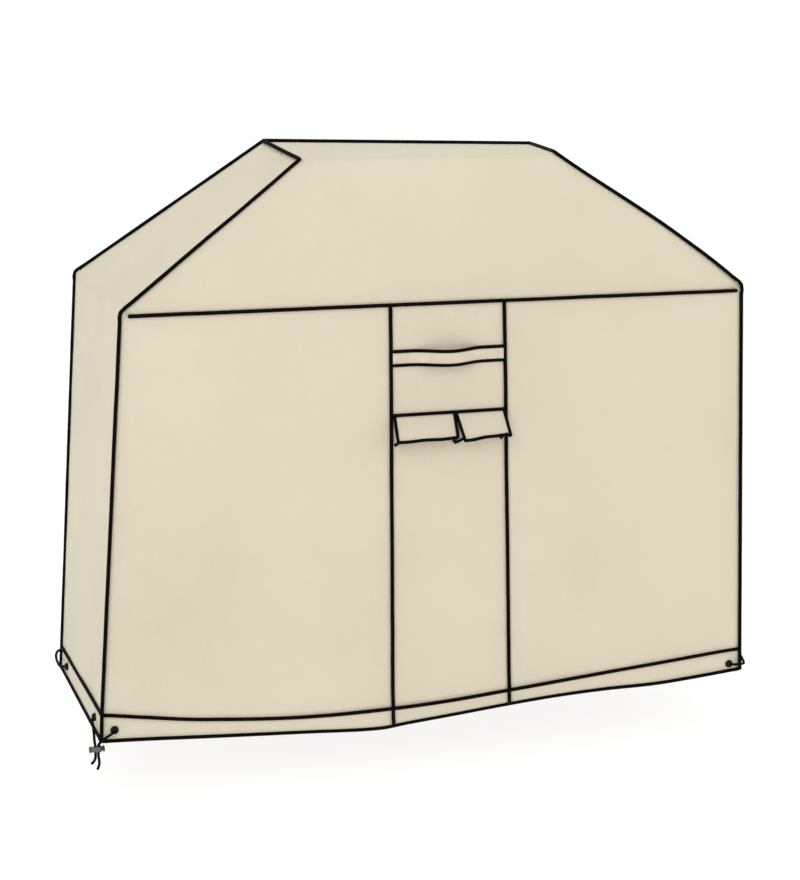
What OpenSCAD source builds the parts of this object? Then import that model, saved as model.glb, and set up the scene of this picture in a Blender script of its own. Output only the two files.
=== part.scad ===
// Fitted canvas cover for a cart grill, closed at the hem by a drawcord with a cord lock.
// Millimetres. The origin is the middle of the underside of the flat top, +X to the right,
// +Y to the back and +Z up, so the cover hangs down from the origin over the grill.

/* [Cover] */
// Width across the shoulders
shoulder_w = 1400; // [1300:10:1500]
// Depth across the shoulders
shoulder_d = 520; // [480:10:600]
// Height from the hem corners to the underside of the top
cover_h = 1220; // [1150:10:1250]
// Drop from the flat top to the shoulders
roof_drop = 300; // [260:10:320]
// How far each end stands out further at the hem than at the shoulder
flare = 50; // [30:5:60]
// Thickness of the canvas
cloth_t = 1.2; // [1:0.1:1.5]

/* [Flat top] */
// Width of the flat top along its front fold
top_front_w = 580; // [540:10:620]
// Width of the flat top along its back seam
top_back_w = 630; // [590:10:670]
// Distance of the front fold from the centre plane
top_front_y = 160; // [140:5:180]
// Distance of the back seam from the centre plane
top_back_y = 50; // [40:5:70]

/* [Seams] */
// Diameter of the dark piping in the seams
piping_d = 7.2; // [6:0.2:7.4]
// Clear space between a panel's edge and the middle of its piping
seam_inset = 4; // [4:0.1:4.5]
// Distance of the left centre seam from the centre plane, at the shoulder
seam_left = 125; // [122:1:128]
// Distance of the right centre seam from the centre plane, at the shoulder
seam_right = 133; // [130:1:136]

/* [Hem] */
// Height of the hem band
band_h = 52; // [48:1:60]
// How far the front hem seam stands out at its middle
front_out = 55; // [30:5:60]
// How far the front hem edge stands out at its middle
front_edge_out = 25; // [15:5:30]
// How far the back hem seam stands out at its middle
back_out = 35; // [20:5:40]
// How far the back hem edge stands out at its middle
back_edge_out = 18; // [10:2:24]
// Depth of the cord channel behind the band
channel_depth = 12.5; // [12.5:0.5:14]

/* [Handle] */
// Height of the handle's middle above the hem corners
handle_h = 794; // [780:2:800]
// Width of the handle webbing
strap_w = 30; // [25:1:35]
// Thickness of the handle webbing
strap_t = 2.4; // [2:0.2:3]
// How far the webbing bows out from the panel
strap_bow = 28; // [24:1:34]
// Length of each sewn end of the handle
strap_tab = 36; // [34:1:40]

/* [Vent] */
// Height of the flap's top seam above the hem corners
vent_h = 668; // [660:2:680]
// Length of each flap from its seam to its lower edge
flap_len = 60; // [56:1:62]
// Angle of the propped flap from the vertical
flap_angle = 38; // [30:1:40]
// Where the two flaps part, measured from the centre plane
flap_split_x = 28; // [20:2:30]
// How far each flap narrows at the parting
flap_taper = 10; // [6:1:12]
// Thickness of each flap
flap_t = 1.6; // [1.4:0.1:1.8]

/* [Eyelets and drawcord] */
// Diameter of an eyelet's flange
eyelet_d = 18; // [16:1:20]
// Diameter of an eyelet's hole
eyelet_hole = 10.5; // [10.5:0.1:11]
// Distance of the front and back eyelets from their corner
eyelet_front = 25; // [22:1:30]
// Distance of the side eyelets from their corner
eyelet_side = 80; // [80:1:90]
// Diameter of the drawcord
cord_d = 6; // [5.6:0.1:6.1]

/* [Cord lock] */
// Diameter of the cord lock's barrel
lock_d = 12.5; // [12:0.1:13]
// Travel of the sprung plunger
plunger_travel = 3.5; // [3:0.1:3.6]

/* [Hidden] */
canvas = "#dfd7c0";
canvas_inside = "#c9c0a8";
trim = "#1d1d1d";
webbing = "#d8cfb6";
mesh_grey = "#3a3a38";
nickel = "#4b4a48";
cord_grey = "#2b2b2b";
lock_grey = "#696564";
lock_dark = "#444040";

half_w = shoulder_w / 2;
half_d = shoulder_d / 2;
hem_z = -cover_h;
shoulder_z = -roof_drop;
end_h = cover_h - roof_drop;
gap = 0.3;
inset_u = seam_inset / half_w;
last_v = 2 - 1.45 * seam_inset / band_h;
first_v = seam_inset / end_h;

// ---- Small helpers ----
function unit(p) = p / norm(p);
function mix(a, b, t) = a + (b - a) * t;
function steps(a, b, n) = [for (i = [0:n]) mix(a, b, i / n)];
function flat(rows) = [for (row = rows) each row];

// ---- Shape of the hem, as drops below the straight line between its corners ----
// Each pair is a place across the front, from -1 at the left corner to 1 at the right, and a drop.
seam_drops = [
    [-1, 0], [-0.86, 14], [-0.72, 25], [-0.44, 35], [-0.16, 33], [0.02, 28], [0.2, 21], [0.51, 13],
    [0.76, 9], [1, 0]
];
edge_drops = [
    [-1, 0], [-0.86, 6], [-0.7, 13], [-0.41, 24], [-0.19, 33], [-0.1, 27], [0.05, 19], [0.21, 11],
    [0.37, 6], [0.54, 6], [0.71, 10], [0.87, 6], [1, 0]
];
back_seam_drop = 14;
back_edge_drop = 10;

function side_x(z) = half_w + flare * (shoulder_z - z) / end_h;
function swell(u) = pow(1 - u * u, 2);

// How far down the front a point is: 0 at the shoulder, 1 at the hem seam, 2 at the hem edge.
function face_z(seam_z, edge_z, v) = v <= 1 ? mix(shoulder_z, seam_z, v) : mix(seam_z, edge_z, v - 1);
bulge_start = 0.36;
function face_out(u, v, out, edge_out) =
    swell(u) * (v <= 1 ? out * pow(max(0, v - bulge_start) / (1 - bulge_start), 1.6)
                       : mix(out, edge_out, v - 1));

// ---- Points on the inner face of each side of the cover ----
function front_point(u, v) =
    let (z = face_z(hem_z + band_h - lookup(u, seam_drops), hem_z - lookup(u, edge_drops), v))
    [u * side_x(z), -half_d - face_out(u, v, front_out, front_edge_out), z];

function back_point(u, v) =
    let (round_off = 1 - u * u)
    let (z = face_z(hem_z + band_h - back_seam_drop * round_off, hem_z - back_edge_drop * round_off, v))
    [u * side_x(z), half_d + face_out(u, v, back_out, back_edge_out), z];

// w runs from the back, 0, to the front, 1; v is as on the front.
function end_point(w, v) =
    let (z = face_z(hem_z + band_h, hem_z, v))
    [-side_x(z), mix(half_d, -half_d, w), z];

function end_roof_point(w, t) =
    mix(mix([-top_back_w / 2, top_back_y, 0], [-top_front_w / 2, -top_front_y, 0], w),
        [-half_w, mix(half_d, -half_d, w), shoulder_z], t);

function back_roof_point(u, t) =
    [u * mix(top_back_w / 2, half_w, t), mix(top_back_y, half_d, t), t * shoulder_z];

// How far each centre seam runs to the right of its place at the shoulder, down the front.
left_drift = [[0, 0], [0.36, 8.5], [0.6, 10.5], [0.8, 9], [1, 6], [2, 17]];
right_drift = [[0, 0], [0.36, 14.5], [0.6, 20], [0.8, 21], [1, 20], [2, 32.5]];

function wall_half_w(v) = side_x(face_z(hem_z + band_h, hem_z, v));
function left_seam_u(v) = (lookup(v, left_drift) - seam_left) / wall_half_w(v);
function right_seam_u(v) = (lookup(v, right_drift) + seam_right) / wall_half_w(v);

// ---- Cloth: a closed sheet on a grid of inner points ----
// Rows run down the panel. Columns run from left to right as seen from outside.
function outward(g, r, c) =
    let (right = g[r][min(c + 1, len(g[0]) - 1)] - g[r][max(c - 1, 0)])
    let (down = g[min(r + 1, len(g) - 1)][c] - g[max(r - 1, 0)][c])
    unit(cross(down, right));

module cloth(grid, thickness = cloth_t) {
    rows = len(grid);
    cols = len(grid[0]);
    size = rows * cols;
    outer = [for (r = [0:rows - 1]) [for (c = [0:cols - 1])
        grid[r][c] + thickness * outward(grid, r, c)]];
    at = function (r, c) r * cols + c;
    rim = concat(
        [for (c = [0:cols - 2]) at(0, c)],
        [for (r = [0:rows - 2]) at(r, cols - 1)],
        [for (c = [cols - 1:-1:1]) at(rows - 1, c)],
        [for (r = [rows - 1:-1:1]) at(r, 0)]);
    outer_faces = [for (r = [0:rows - 2], c = [0:cols - 2])
        each [[at(r, c), at(r, c + 1), at(r + 1, c + 1)], [at(r, c), at(r + 1, c + 1), at(r + 1, c)]]];
    inner_faces = [for (f = outer_faces) [size + f[2], size + f[1], size + f[0]]];
    rim_faces = [for (i = [0:len(rim) - 1])
        let (a = rim[i], b = rim[(i + 1) % len(rim)])
        each [[b, a, size + a], [b, size + a, size + b]]];
    polyhedron(concat(flat(outer), flat(grid)), concat(outer_faces, inner_faces, rim_faces));
}

// ---- Tube: rings swept along a path, each turned as little as it can be ----
function tangent(path, i, closed) =
    let (n = len(path))
    let (before = closed ? path[(i + n - 1) % n] : path[max(i - 1, 0)])
    let (after = closed ? path[(i + 1) % n] : path[min(i + 1, n - 1)])
    unit(unit(after - path[i] + (after == path[i] ? path[i] - before : [0, 0, 0]))
        + unit(path[i] - before + (before == path[i] ? after - path[i] : [0, 0, 0])));

function carried(path, closed, i, side) =
    i == len(path) ? [] :
    let (t = tangent(path, i, closed))
    let (s = unit(side - (side * t) * t))
    concat([s], carried(path, closed, i + 1, s));

module tube(path, diameter, sides = 8, closed = false) {
    n = len(path);
    start = abs(tangent(path, 0, closed)[2]) > 0.9 ? [0, 1, 0] : [0, 0, 1];
    across = carried(path, closed, 0, start);
    rings = [for (i = [0:n - 1])
        let (s = across[i], b = cross(tangent(path, i, closed), across[i]))
        [for (k = [0:sides - 1])
            path[i] + diameter / 2 * (cos(360 * k / sides) * s + sin(360 * k / sides) * b)]];
    at = function (i, k) (i % n) * sides + (k % sides);
    walls = [for (i = [0:n - (closed ? 1 : 2)], k = [0:sides - 1])
        each [[at(i, k), at(i + 1, k), at(i + 1, k + 1)], [at(i, k), at(i + 1, k + 1), at(i, k + 1)]]];
    ends = closed ? [] : [
        [for (k = [0:sides - 1]) at(0, k)],
        [for (k = [sides - 1:-1:0]) at(n - 1, k)]];
    polyhedron(flat(rings), concat(walls, ends));
}

// A corner of a path, cut back by `cut` on both sides and rounded with one point between.
function eased(a, b, c, cut) =
    let (p = b + cut * unit(a - b), q = b + cut * unit(c - b))
    [p, (p + q + 2 * b) / 4, q];

// ---- Eyelet places: outward is local +Z, and the origin is on the canvas's inner face ----
end_tilt = atan(flare / end_h);
eyelet_u = 1 - eyelet_front / (half_w + flare);
eyelet_w = eyelet_side / shoulder_d;
band_mid_v = 1.5;

// The eyelets of the front and back sit in the middle of a flat strip of canvas beside each corner.
strip_u = 2 * eyelet_u - (1 - inset_u);

function front_eyelet(side) =
    (front_point(side * strip_u, band_mid_v) + front_point(side * (1 - inset_u), band_mid_v)) / 2;

function back_eyelet(side) =
    (back_point(side * strip_u, band_mid_v) + back_point(side * (1 - inset_u), band_mid_v)) / 2;

module at_end_eyelets() {
    for (side = [0, 1], w = [eyelet_w, 1 - eyelet_w])
        mirror([side, 0, 0])
            translate(end_point(w, band_mid_v))
                rotate([0, end_tilt - 90, 0])
                    children();
}

module at_face_eyelets() {
    for (side = [-1, 1]) {
        translate(front_eyelet(side))
            rotate([90, 0, 0])
                children();
        translate(back_eyelet(side))
            rotate([-90, 0, 0])
                children();
    }
}

module eyelet_punch() {
    cylinder(d = eyelet_hole + 2.6, h = 12, center = true, $fn = 32);
}

// ---- Panels ----
hip_inset = 1.65 * seam_inset;

// The top and the front slope are one cloth with a soft fold between them.
module roof_panel() {
    lower_t = 1 - seam_inset / norm([half_d - top_front_y, roof_drop]);
    rows = [
        [top_back_w / 2, top_back_y - seam_inset, 0],
        [top_front_w / 2, -top_front_y, 0],
        [mix(top_front_w / 2, half_w, lower_t), -mix(top_front_y, half_d, lower_t), lower_t * shoulder_z]
    ];
    color(canvas)
        cloth([for (row = rows)
            [for (x = steps(hip_inset - row[0], row[0] - hip_inset, 8)) [x, row[1], row[2]]]]);
}

module end_panel() {
    roof_rows = [for (t = steps(1.5 * seam_inset / norm([half_w - top_back_w / 2, roof_drop]), 1, 3))
        let (edge = seam_inset / mix(top_back_y + top_front_y, shoulder_d, t))
        [for (w = steps(edge, 1 - edge, 6)) end_roof_point(w, t)]];
    edge = seam_inset / shoulder_d;
    wall_rows = [for (v = [0.33, 0.67, 1, band_mid_v, last_v])
        [for (w = steps(edge, 1 - edge, 6)) end_point(w, v)]];
    color(canvas)
        difference() {
            cloth(concat(roof_rows, wall_rows));
            mirror([1, 0, 0])
                at_end_eyelets()
                    eyelet_punch();
        }
}

module left_end_panel() {
    end_panel();
}

module right_end_panel() {
    mirror([1, 0, 0])
        end_panel();
}

back_columns = concat([1 - inset_u], steps(strip_u, -strip_u, 10), [inset_u - 1]);

module back_panel() {
    roof_rows = [for (t = steps(seam_inset / roof_drop, 1, 2))
        let (edge = hip_inset / mix(top_back_w / 2, half_w, t))
        [for (u = concat([1 - edge], steps(strip_u, -strip_u, 10), [edge - 1])) back_roof_point(u, t)]];
    wall_rows = [for (v = [bulge_start, 0.6, 0.8, 1, band_mid_v, last_v])
        [for (u = back_columns) back_point(u, v)]];
    color(canvas)
        difference() {
            cloth(concat(roof_rows, wall_rows));
            at_face_eyelets()
                eyelet_punch();
        }
}

front_rows = [first_v, bulge_start, 0.52, 0.68, 0.84, 1, band_mid_v, last_v];

// The columns of each front panel, from its left edge to its right one.
function left_columns(v) = concat([inset_u - 1], steps(-strip_u, left_seam_u(v) - inset_u, 7));
function centre_columns(v) = steps(left_seam_u(v) + inset_u, right_seam_u(v) - inset_u, 4);
function right_columns(v) = concat(steps(right_seam_u(v) + inset_u, strip_u, 7), [1 - inset_u]);

module front_left_panel() {
    color(canvas)
        difference() {
            cloth([for (v = front_rows) [for (u = left_columns(v)) front_point(u, v)]]);
            at_face_eyelets()
                eyelet_punch();
        }
}

module front_right_panel() {
    color(canvas)
        difference() {
            cloth([for (v = front_rows) [for (u = right_columns(v)) front_point(u, v)]]);
            at_face_eyelets()
                eyelet_punch();
        }
}

module front_centre_panel() {
    color(canvas)
        difference() {
            cloth([for (v = front_rows) [for (u = centre_columns(v)) front_point(u, v)]]);
            vent_opening(20);
        }
}

// ---- Piping, tape and binding ----
module arch_piping() {
    foot_v = 2 - 2 * seam_inset / band_h;
    front_foot = end_point(1, foot_v);
    back_foot = end_point(0, foot_v);
    corners = [
        front_foot,
        end_roof_point(1, 1),
        end_roof_point(1, 0),
        end_roof_point(0, 0),
        end_roof_point(0, 1),
        back_foot
    ];
    path = concat(
        [front_foot],
        [for (i = [1:len(corners) - 2]) each eased(corners[i - 1], corners[i], corners[i + 1], 5)],
        [back_foot]);
    color(trim)
        tube(path, piping_d);
}

module left_arch_piping() {
    arch_piping();
}

module right_arch_piping() {
    mirror([1, 0, 0])
        arch_piping();
}

module level_piping(half_length, y, z) {
    color(trim)
        translate([0, y, z])
            rotate([0, 90, 0])
                cylinder(d = piping_d, h = 2 * half_length, center = true, $fn = 32);
}

module top_back_piping() {
    level_piping(top_back_w / 2 - 2 * seam_inset, top_back_y, 0);
}

module front_shoulder_piping() {
    level_piping(half_w - 3 * seam_inset, -half_d, shoulder_z);
}

// The piping of the centre seams stands on the outside, clear of the cord channel.
module centre_piping(seam_u) {
    stand_off = 2.6;
    top_v = 2.6 * first_v;
    foot_v = 2 - 2 * seam_inset / band_h;
    rows = [top_v, bulge_start, 0.45, 0.55, 0.65, 0.75, 0.85, 0.93, 1, band_mid_v, foot_v];
    color(trim)
        tube([for (v = rows) front_point(seam_u(v), v) - [0, stand_off, 0]], piping_d);
}

module centre_left_piping() {
    centre_piping(function (v) left_seam_u(v));
}

module centre_right_piping() {
    centre_piping(function (v) right_seam_u(v));
}

// The tape lies on the outside of the panels, over the bend at the hem seam, and stops at each
// upright piping. It has the panels' own columns.
module hem_tape() {
    tape_t = 1.2;
    lift = cloth_t + 2 * gap;
    half = piping_d / 2;
    tape_rows = [1 - half / (end_h - band_h), 1, 1 + half / band_h];
    color(trim) {
        for (columns_at = [
                function (v) left_columns(v), function (v) centre_columns(v), function (v) right_columns(v)])
            translate([0, -lift, 0])
                cloth([for (v = tape_rows) [for (u = columns_at(v)) front_point(u, v)]], tape_t);
        translate([0, lift, 0])
            cloth([for (v = tape_rows) [for (u = back_columns) back_point(u, v)]], tape_t);
        for (side = [0, 1])
            mirror([side, 0, 0])
                translate([-lift, 0, 0])
                    cloth([for (v = tape_rows)
                        [for (w = [seam_inset / shoulder_d, 1 - seam_inset / shoulder_d]) end_point(w, v)]],
                        tape_t);
    }
}

// One ring of binding round the lower edge of the cover.
module hem_binding() {
    front = [for (u = concat(left_columns(2), centre_columns(2), right_columns(2))) front_point(u, 2)];
    back = [for (u = back_columns) back_point(u, 2)];
    right = [front_point(1, 2) + [0, 8, 0], back_point(1, 2) - [0, 8, 0]];
    left = [back_point(-1, 2) - [0, 8, 0], front_point(-1, 2) + [0, 8, 0]];
    color(trim)
        tube(concat(front, right, back, left), piping_d, closed = true);
}

// ---- Hem facings: the inner wall of the cord channel ----
// Each row is a place down the band and a depth behind the panel.
facing_rows = [
    [1.09, 3.4], [1.25, channel_depth - 3], [band_mid_v, channel_depth], [1.75, channel_depth - 3], [1.87, 3.4]
];
facing_end = 16;
channel_us = steps(-0.93, 0.93, 14);

module face_facing(grid_at, turn) {
    end_u = 1 - facing_end / half_w;
    color(canvas_inside)
        cloth([for (row = facing_rows)
            [for (u = concat([-end_u], channel_us, [end_u]))
                grid_at(turn * u, row[0]) + [0, turn * row[1], 0]]]);
}

module hem_facing_front() {
    face_facing(function (u, v) front_point(u, v), 1);
}

module hem_facing_back() {
    face_facing(function (u, v) back_point(u, v), -1);
}

module hem_facing_left() {
    edge = facing_end / shoulder_d;
    color(canvas_inside)
        cloth([for (row = facing_rows)
            [for (w = steps(edge, 1 - edge, 4)) end_point(w, row[0]) + [row[1], 0, 0]]]);
}

module hem_facing_right() {
    mirror([1, 0, 0])
        hem_facing_left();
}

// ---- Handle ----
// The strap lies flat at both ends and bows out between them. Its ends lead out of the panel,
// and the middle swings about an axis where the strap stands clear of the panel.
handle_z = hem_z + handle_h;
handle_v = (shoulder_z - handle_z) / (end_h - band_h);
strap_left = left_seam_u(handle_v) * half_w + 2 * seam_inset;
strap_right = right_seam_u(handle_v) * half_w - 2 * seam_inset;
strap_free = strap_right - strap_left - 2 * strap_tab;
strap_face = -half_d - cloth_t - gap;
swing_t = 0.2;

function strap_place(t) =
    [strap_left + strap_tab + strap_free * t, strap_face - strap_bow * pow(sin(180 * t), 2)];

// The webbing along a line of places from left to right, as its outline seen from above.
module strap_piece(line) {
    outer = [for (p = line) p - [0, strap_t]];
    translate([0, 0, handle_z - strap_w / 2])
        linear_extrude(strap_w)
            polygon(concat(line, [for (i = [len(line) - 1:-1:0]) outer[i]]));
}

module handle_tab_left() {
    color(webbing)
        strap_piece(concat([[strap_left, strap_face]], [for (t = steps(0, swing_t, 5)) strap_place(t)]));
}

module handle_tab_right() {
    color(webbing)
        strap_piece(concat([for (t = steps(1 - swing_t, 1, 5)) strap_place(t)], [[strap_right, strap_face]]));
}

module handle_strap() {
    joint = gap / strap_free;
    color(webbing)
        strap_piece([for (t = steps(swing_t + joint, 1 - swing_t - joint, 16)) strap_place(t)]);
}

// ---- Vent ----
vent_z = hem_z + vent_h;
vent_v = (shoulder_z - vent_z) / (end_h - band_h);
binding_t = 1;
vent_left = left_seam_u(vent_v) * half_w + 5.4;
vent_right = right_seam_u(vent_v) * half_w - 5;
hinge_y = -half_d - cloth_t - 2.2;
window_side = 7;
window_top = 10;
window_h = 36;
window_l = vent_left + window_side;
window_r = vent_right - window_side;
hem_tube_d = 5.4;
stiffener_d = 3;
split_gap = 2;

module vent_opening(depth) {
    translate([window_l, -half_d - depth / 2, vent_z - window_top - window_h])
        cube([window_r - window_l, depth, window_h]);
}

module vent_mesh() {
    lap = 7;
    color(mesh_grey)
        translate([window_l - lap + 2, -half_d + gap, vent_z - window_top - window_h - lap])
            cube([window_r - window_l + 2 * lap - 4, 0.8, window_h + 2 * lap]);
}

module vent_window_binding() {
    rim = 4;
    color(trim)
        difference() {
            translate([window_l - rim, -half_d - cloth_t - gap - binding_t, vent_z - window_top - window_h - rim])
                cube([window_r - window_l + 2 * rim, binding_t, window_h + 2 * rim]);
            vent_opening(20);
        }
}

// A flap in its own frame: its seam along X at the origin, its length down -Z, outside towards -Y.
module flap_frame(x) {
    translate([x, hinge_y, vent_z])
        rotate([-flap_angle, 0, 0])
            children();
}

module flap(width, lower_left, lower_right) {
    plate = flap_len - hem_tube_d / 2;
    difference() {
        union() {
            translate([0, flap_t / 2, 0])
                rotate([90, 0, 0])
                    linear_extrude(flap_t)
                        polygon([[0, -1], [lower_left, -plate], [lower_right, -plate], [width, -1]]);
            translate([lower_left, 0, -plate])
                rotate([0, 90, 0])
                    cylinder(d = hem_tube_d, h = lower_right - lower_left, $fn = 32);
        }
        translate([lower_left - 1, 0, -plate])
            rotate([0, 90, 0])
                cylinder(d = stiffener_d + 0.4, h = lower_right - lower_left + 2, $fn = 32);
    }
}

left_flap_w = flap_split_x - split_gap - vent_left;
right_flap_w = vent_right - flap_split_x - split_gap;
gusset_room = 1.6;

module vent_flap_left() {
    color(canvas)
        flap_frame(vent_left)
            flap(left_flap_w, gusset_room, left_flap_w - flap_taper);
}

module vent_flap_right() {
    color(canvas)
        flap_frame(flap_split_x + split_gap)
            flap(right_flap_w, flap_taper, right_flap_w - gusset_room);
}

module stiffener(x, from, to) {
    end_space = 1;
    color(lock_grey)
        flap_frame(x)
            translate([from + end_space, 0, hem_tube_d / 2 - flap_len])
                rotate([0, 90, 0])
                    cylinder(d = stiffener_d, h = to - from - 2 * end_space, $fn = 24);
}

module vent_stiffener_left() {
    stiffener(vent_left, gusset_room, left_flap_w - flap_taper);
}

module vent_stiffener_right() {
    stiffener(flap_split_x + split_gap, flap_taper, right_flap_w - gusset_room);
}

// A gusset is a triangle of light cloth between the panel and one edge of a flap.
// Its lower corner sits beside the flap's lower edge, at lower_x.
module gusset(top_x, lower_x, foot_x, turn) {
    gusset_t = 0.8;
    reach = flap_len - hem_tube_d;
    top = [top_x, hinge_y, vent_z - 4];
    tip = [lower_x, hinge_y - reach * sin(flap_angle), vent_z - reach * cos(flap_angle)];
    foot = [foot_x, -half_d - cloth_t - 2 * gap - binding_t, vent_z - flap_len];
    side = turn * gusset_t * [1, 0, 0];
    front = [top, tip, foot];
    back = [for (p = front) p + side];
    order = turn > 0 ? [[0, 1, 2], [5, 4, 3]] : [[2, 1, 0], [3, 4, 5]];
    ring = turn > 0 ? [[1, 0, 3, 4], [2, 1, 4, 5], [0, 2, 5, 3]] : [[4, 3, 0, 1], [5, 4, 1, 2], [3, 5, 2, 0]];
    color("#e9e3d2")
        polyhedron(concat(front, back), concat(order, [for (q = ring) each [[q[0], q[1], q[2]], [q[0], q[2], q[3]]]]));
}

module vent_gusset_left_outer() {
    gusset(vent_left - gap, vent_left + gusset_room - gap, vent_left + 3, -1);
}

module vent_gusset_left_inner() {
    edge = flap_split_x - split_gap;
    gusset(edge + gap, edge - flap_taper + 3 * gap, edge + gap, 1);
}

module vent_gusset_right_inner() {
    edge = flap_split_x + split_gap;
    gusset(edge - gap, edge + flap_taper - 3 * gap, edge - gap, -1);
}

module vent_gusset_right_outer() {
    gusset(vent_right + gap, vent_right - gusset_room + gap, vent_right + gap, 1);
}

// ---- Eyelets ----
module eyelet() {
    flange_t = 1.4;
    barrel_wall = 0.6;
    washer_side = 1.6;
    difference() {
        union() {
            translate([0, 0, cloth_t + gap])
                cylinder(d = eyelet_d, h = flange_t, $fn = 48);
            translate([0, 0, -washer_side])
                cylinder(d = eyelet_hole + 2 * barrel_wall, h = cloth_t + gap + washer_side + 0.1, $fn = 48);
        }
        cylinder(d = eyelet_hole, h = 20, center = true, $fn = 48);
    }
}

module eyelet_washer() {
    washer_t = 0.8;
    translate([0, 0, -gap - washer_t])
        difference() {
            cylinder(d = eyelet_d - 1, h = washer_t, $fn = 48);
            translate([0, 0, -1])
                cylinder(d = eyelet_hole + 1.8, h = washer_t + 2, $fn = 48);
        }
}

module eyelets() {
    color(nickel) {
        at_end_eyelets()
            eyelet();
        at_face_eyelets()
            eyelet();
    }
}

module eyelet_washers() {
    color(nickel) {
        at_end_eyelets()
            eyelet_washer();
        at_face_eyelets()
            eyelet_washer();
    }
}

// ---- Drawcord ----
// A loop round one corner, from the side channel to the channel of the next face.
// Each point is measured outward from the corner along X and Y, and up from mid-band.
corner_loop = [
    [-5.6, -96, 0], [-6.4, -89, 0], [-6.4, -84.8, 0], [-4.6, -81.4, 0], [-1.4, -80.1, 0], [2, -79.9, 0],
    [5.5, -79, 0], [9, -76, 0], [11.5, -70, -2], [13, -60, -5], [14, -44, -9], [14.5, -20, -9],
    [15, 0, -4], [13.5, 10, 4], [7, 17, 10], [-6, 17, 12], [-17, 14, 8], [-22.5, 10, 3],
    [-24.4, 5.5, 0.6], [-24.9, 2, 0], [-25.1, -1.4, 0], [-26.4, -4.6, 0], [-29.8, -6.4, 0], [-34, -6.4, 0],
    [-41, -5.6, 0]
];
corner = [side_x(hem_z + band_h / 2), half_d, hem_z + band_h / 2];
cord_depth = 5.6;

// Turns the loop into one corner: the signs say which corner.
function loop_at(sx, sy) = [for (p = corner_loop)
    [sx * (corner[0] + p[0]), sy * (corner[1] + p[1]), corner[2] + p[2]]];
function reversed(list) = [for (i = [len(list) - 1:-1:0]) list[i]];

side_start = [-corner[0] + 1, eyelet_side - half_d, corner[2]];
front_start = [eyelet_front - half_w - flare, 1 - half_d, front_point(-eyelet_u, band_mid_v)[2]];

module drawcord() {
    back_run = [for (u = channel_us) back_point(u, band_mid_v) - [0, cord_depth, 0]];
    front_run = [for (u = reversed(channel_us)) front_point(u, band_mid_v) + [0, cord_depth, 0]];
    path = concat(
        [side_start, side_start + [2.2, 0, 0], side_start + [4.2, 1.4, 0], side_start + [4.6, 4.6, 0],
            side_start + [4.6, 14, 0]],
        loop_at(-1, 1),
        back_run,
        reversed(loop_at(1, 1)),
        loop_at(1, -1),
        front_run,
        [front_start + [4.6, 4.6, 0], front_start + [1.4, 4.2, 0], front_start + [0, 2.2, 0], front_start]);
    color(cord_grey)
        tube(path, cord_d);
}

// The two ends come out of the front left eyelets and run down through the cord lock.
lock_at = [-769, -267, hem_z - 12];
side_end_route = [
    [-753, -180, -1194.2], [-757, -182, -1195], [-759.5, -188, -1197.5], [-761.5, -200, -1203],
    [-763.5, -213, -1208.5], [-765.5, -226, -1213], [-768, -239, -1216.5], [-770.3, -251, -1219],
    [-771.8, -260, -1220.6], [-772.2, -265, -1222.4], [-772.2, -267, -1225.2], [-772.2, -267, -1232],
    [-772.2, -267, -1241], [-772.2, -267, -1249], [-773.5, -267, -1254.5], [-776.5, -267.3, -1259.5],
    [-781, -267.6, -1263.5]
];
front_end_route = [
    [-725, -264.5, -1196.8], [-726, -268, -1197.2], [-729, -270.5, -1198.5], [-735, -271.5, -1201],
    [-742, -271.5, -1204.5], [-749, -271.3, -1208.5], [-755.5, -270.5, -1213], [-761, -269, -1217.5],
    [-764.6, -267.6, -1221.5], [-765.8, -267, -1225.4], [-765.8, -267, -1232], [-765.8, -267, -1241],
    [-765.8, -267, -1249], [-764.8, -267, -1256], [-764.4, -267, -1263], [-765.5, -267.3, -1270],
    [-768.5, -267.6, -1277]
];

module drawcord_end_side() {
    color(cord_grey)
        tube(concat([side_start - [gap, 0, 0]], side_end_route), cord_d);
}

module drawcord_end_front() {
    color(cord_grey)
        tube(concat([front_start - [0, gap, 0]], front_end_route), cord_d);
}

// ---- Cord lock, in its own frame: the barrel along X, the two cords along Z ----
barrel_left = -16;
barrel_right = 9;
bore_end = -14.6;
bore_d = 9.4;
plunger_d = 9;
plunger_end = -8.4;
slot_half = 6.6;
slot_y = 6.6;
button_d = 13.5;
button_t = 3;

module along_x(from, to, diameter, fn = 48) {
    translate([from, 0, 0])
        rotate([0, 90, 0])
            cylinder(d = diameter, h = to - from, $fn = fn);
}

module cord_lock_housing() {
    color(lock_grey)
        translate(lock_at)
            difference() {
                union() {
                    along_x(barrel_left + 1, barrel_right, lock_d);
                    along_x(barrel_left, barrel_left + 1, lock_d - 2);
                    along_x(barrel_right - 2, barrel_right, lock_d + 1.5);
                }
                along_x(bore_end, barrel_right + 1, bore_d);
                translate([-slot_half, -slot_y / 2, -lock_d])
                    cube([2 * slot_half, slot_y, 2 * lock_d]);
            }
}

module cord_lock_plunger() {
    button_at = barrel_right + plunger_travel + 0.5;
    color(lock_dark)
        translate(lock_at)
            difference() {
                union() {
                    along_x(plunger_end, button_at + 1, plunger_d);
                    along_x(button_at, button_at + button_t, button_d);
                }
                translate([-slot_half, -slot_y / 2, -lock_d])
                    cube([2 * slot_half + plunger_travel, slot_y, 2 * lock_d]);
            }
}

// The spring is drawn as the sleeve that its coils fill.
module cord_lock_spring() {
    color("silver")
        translate(lock_at)
            difference() {
                along_x(bore_end + 0.1, plunger_end - 0.1, 7);
                along_x(bore_end - 1, plunger_end + 1, 5);
            }
}

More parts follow.
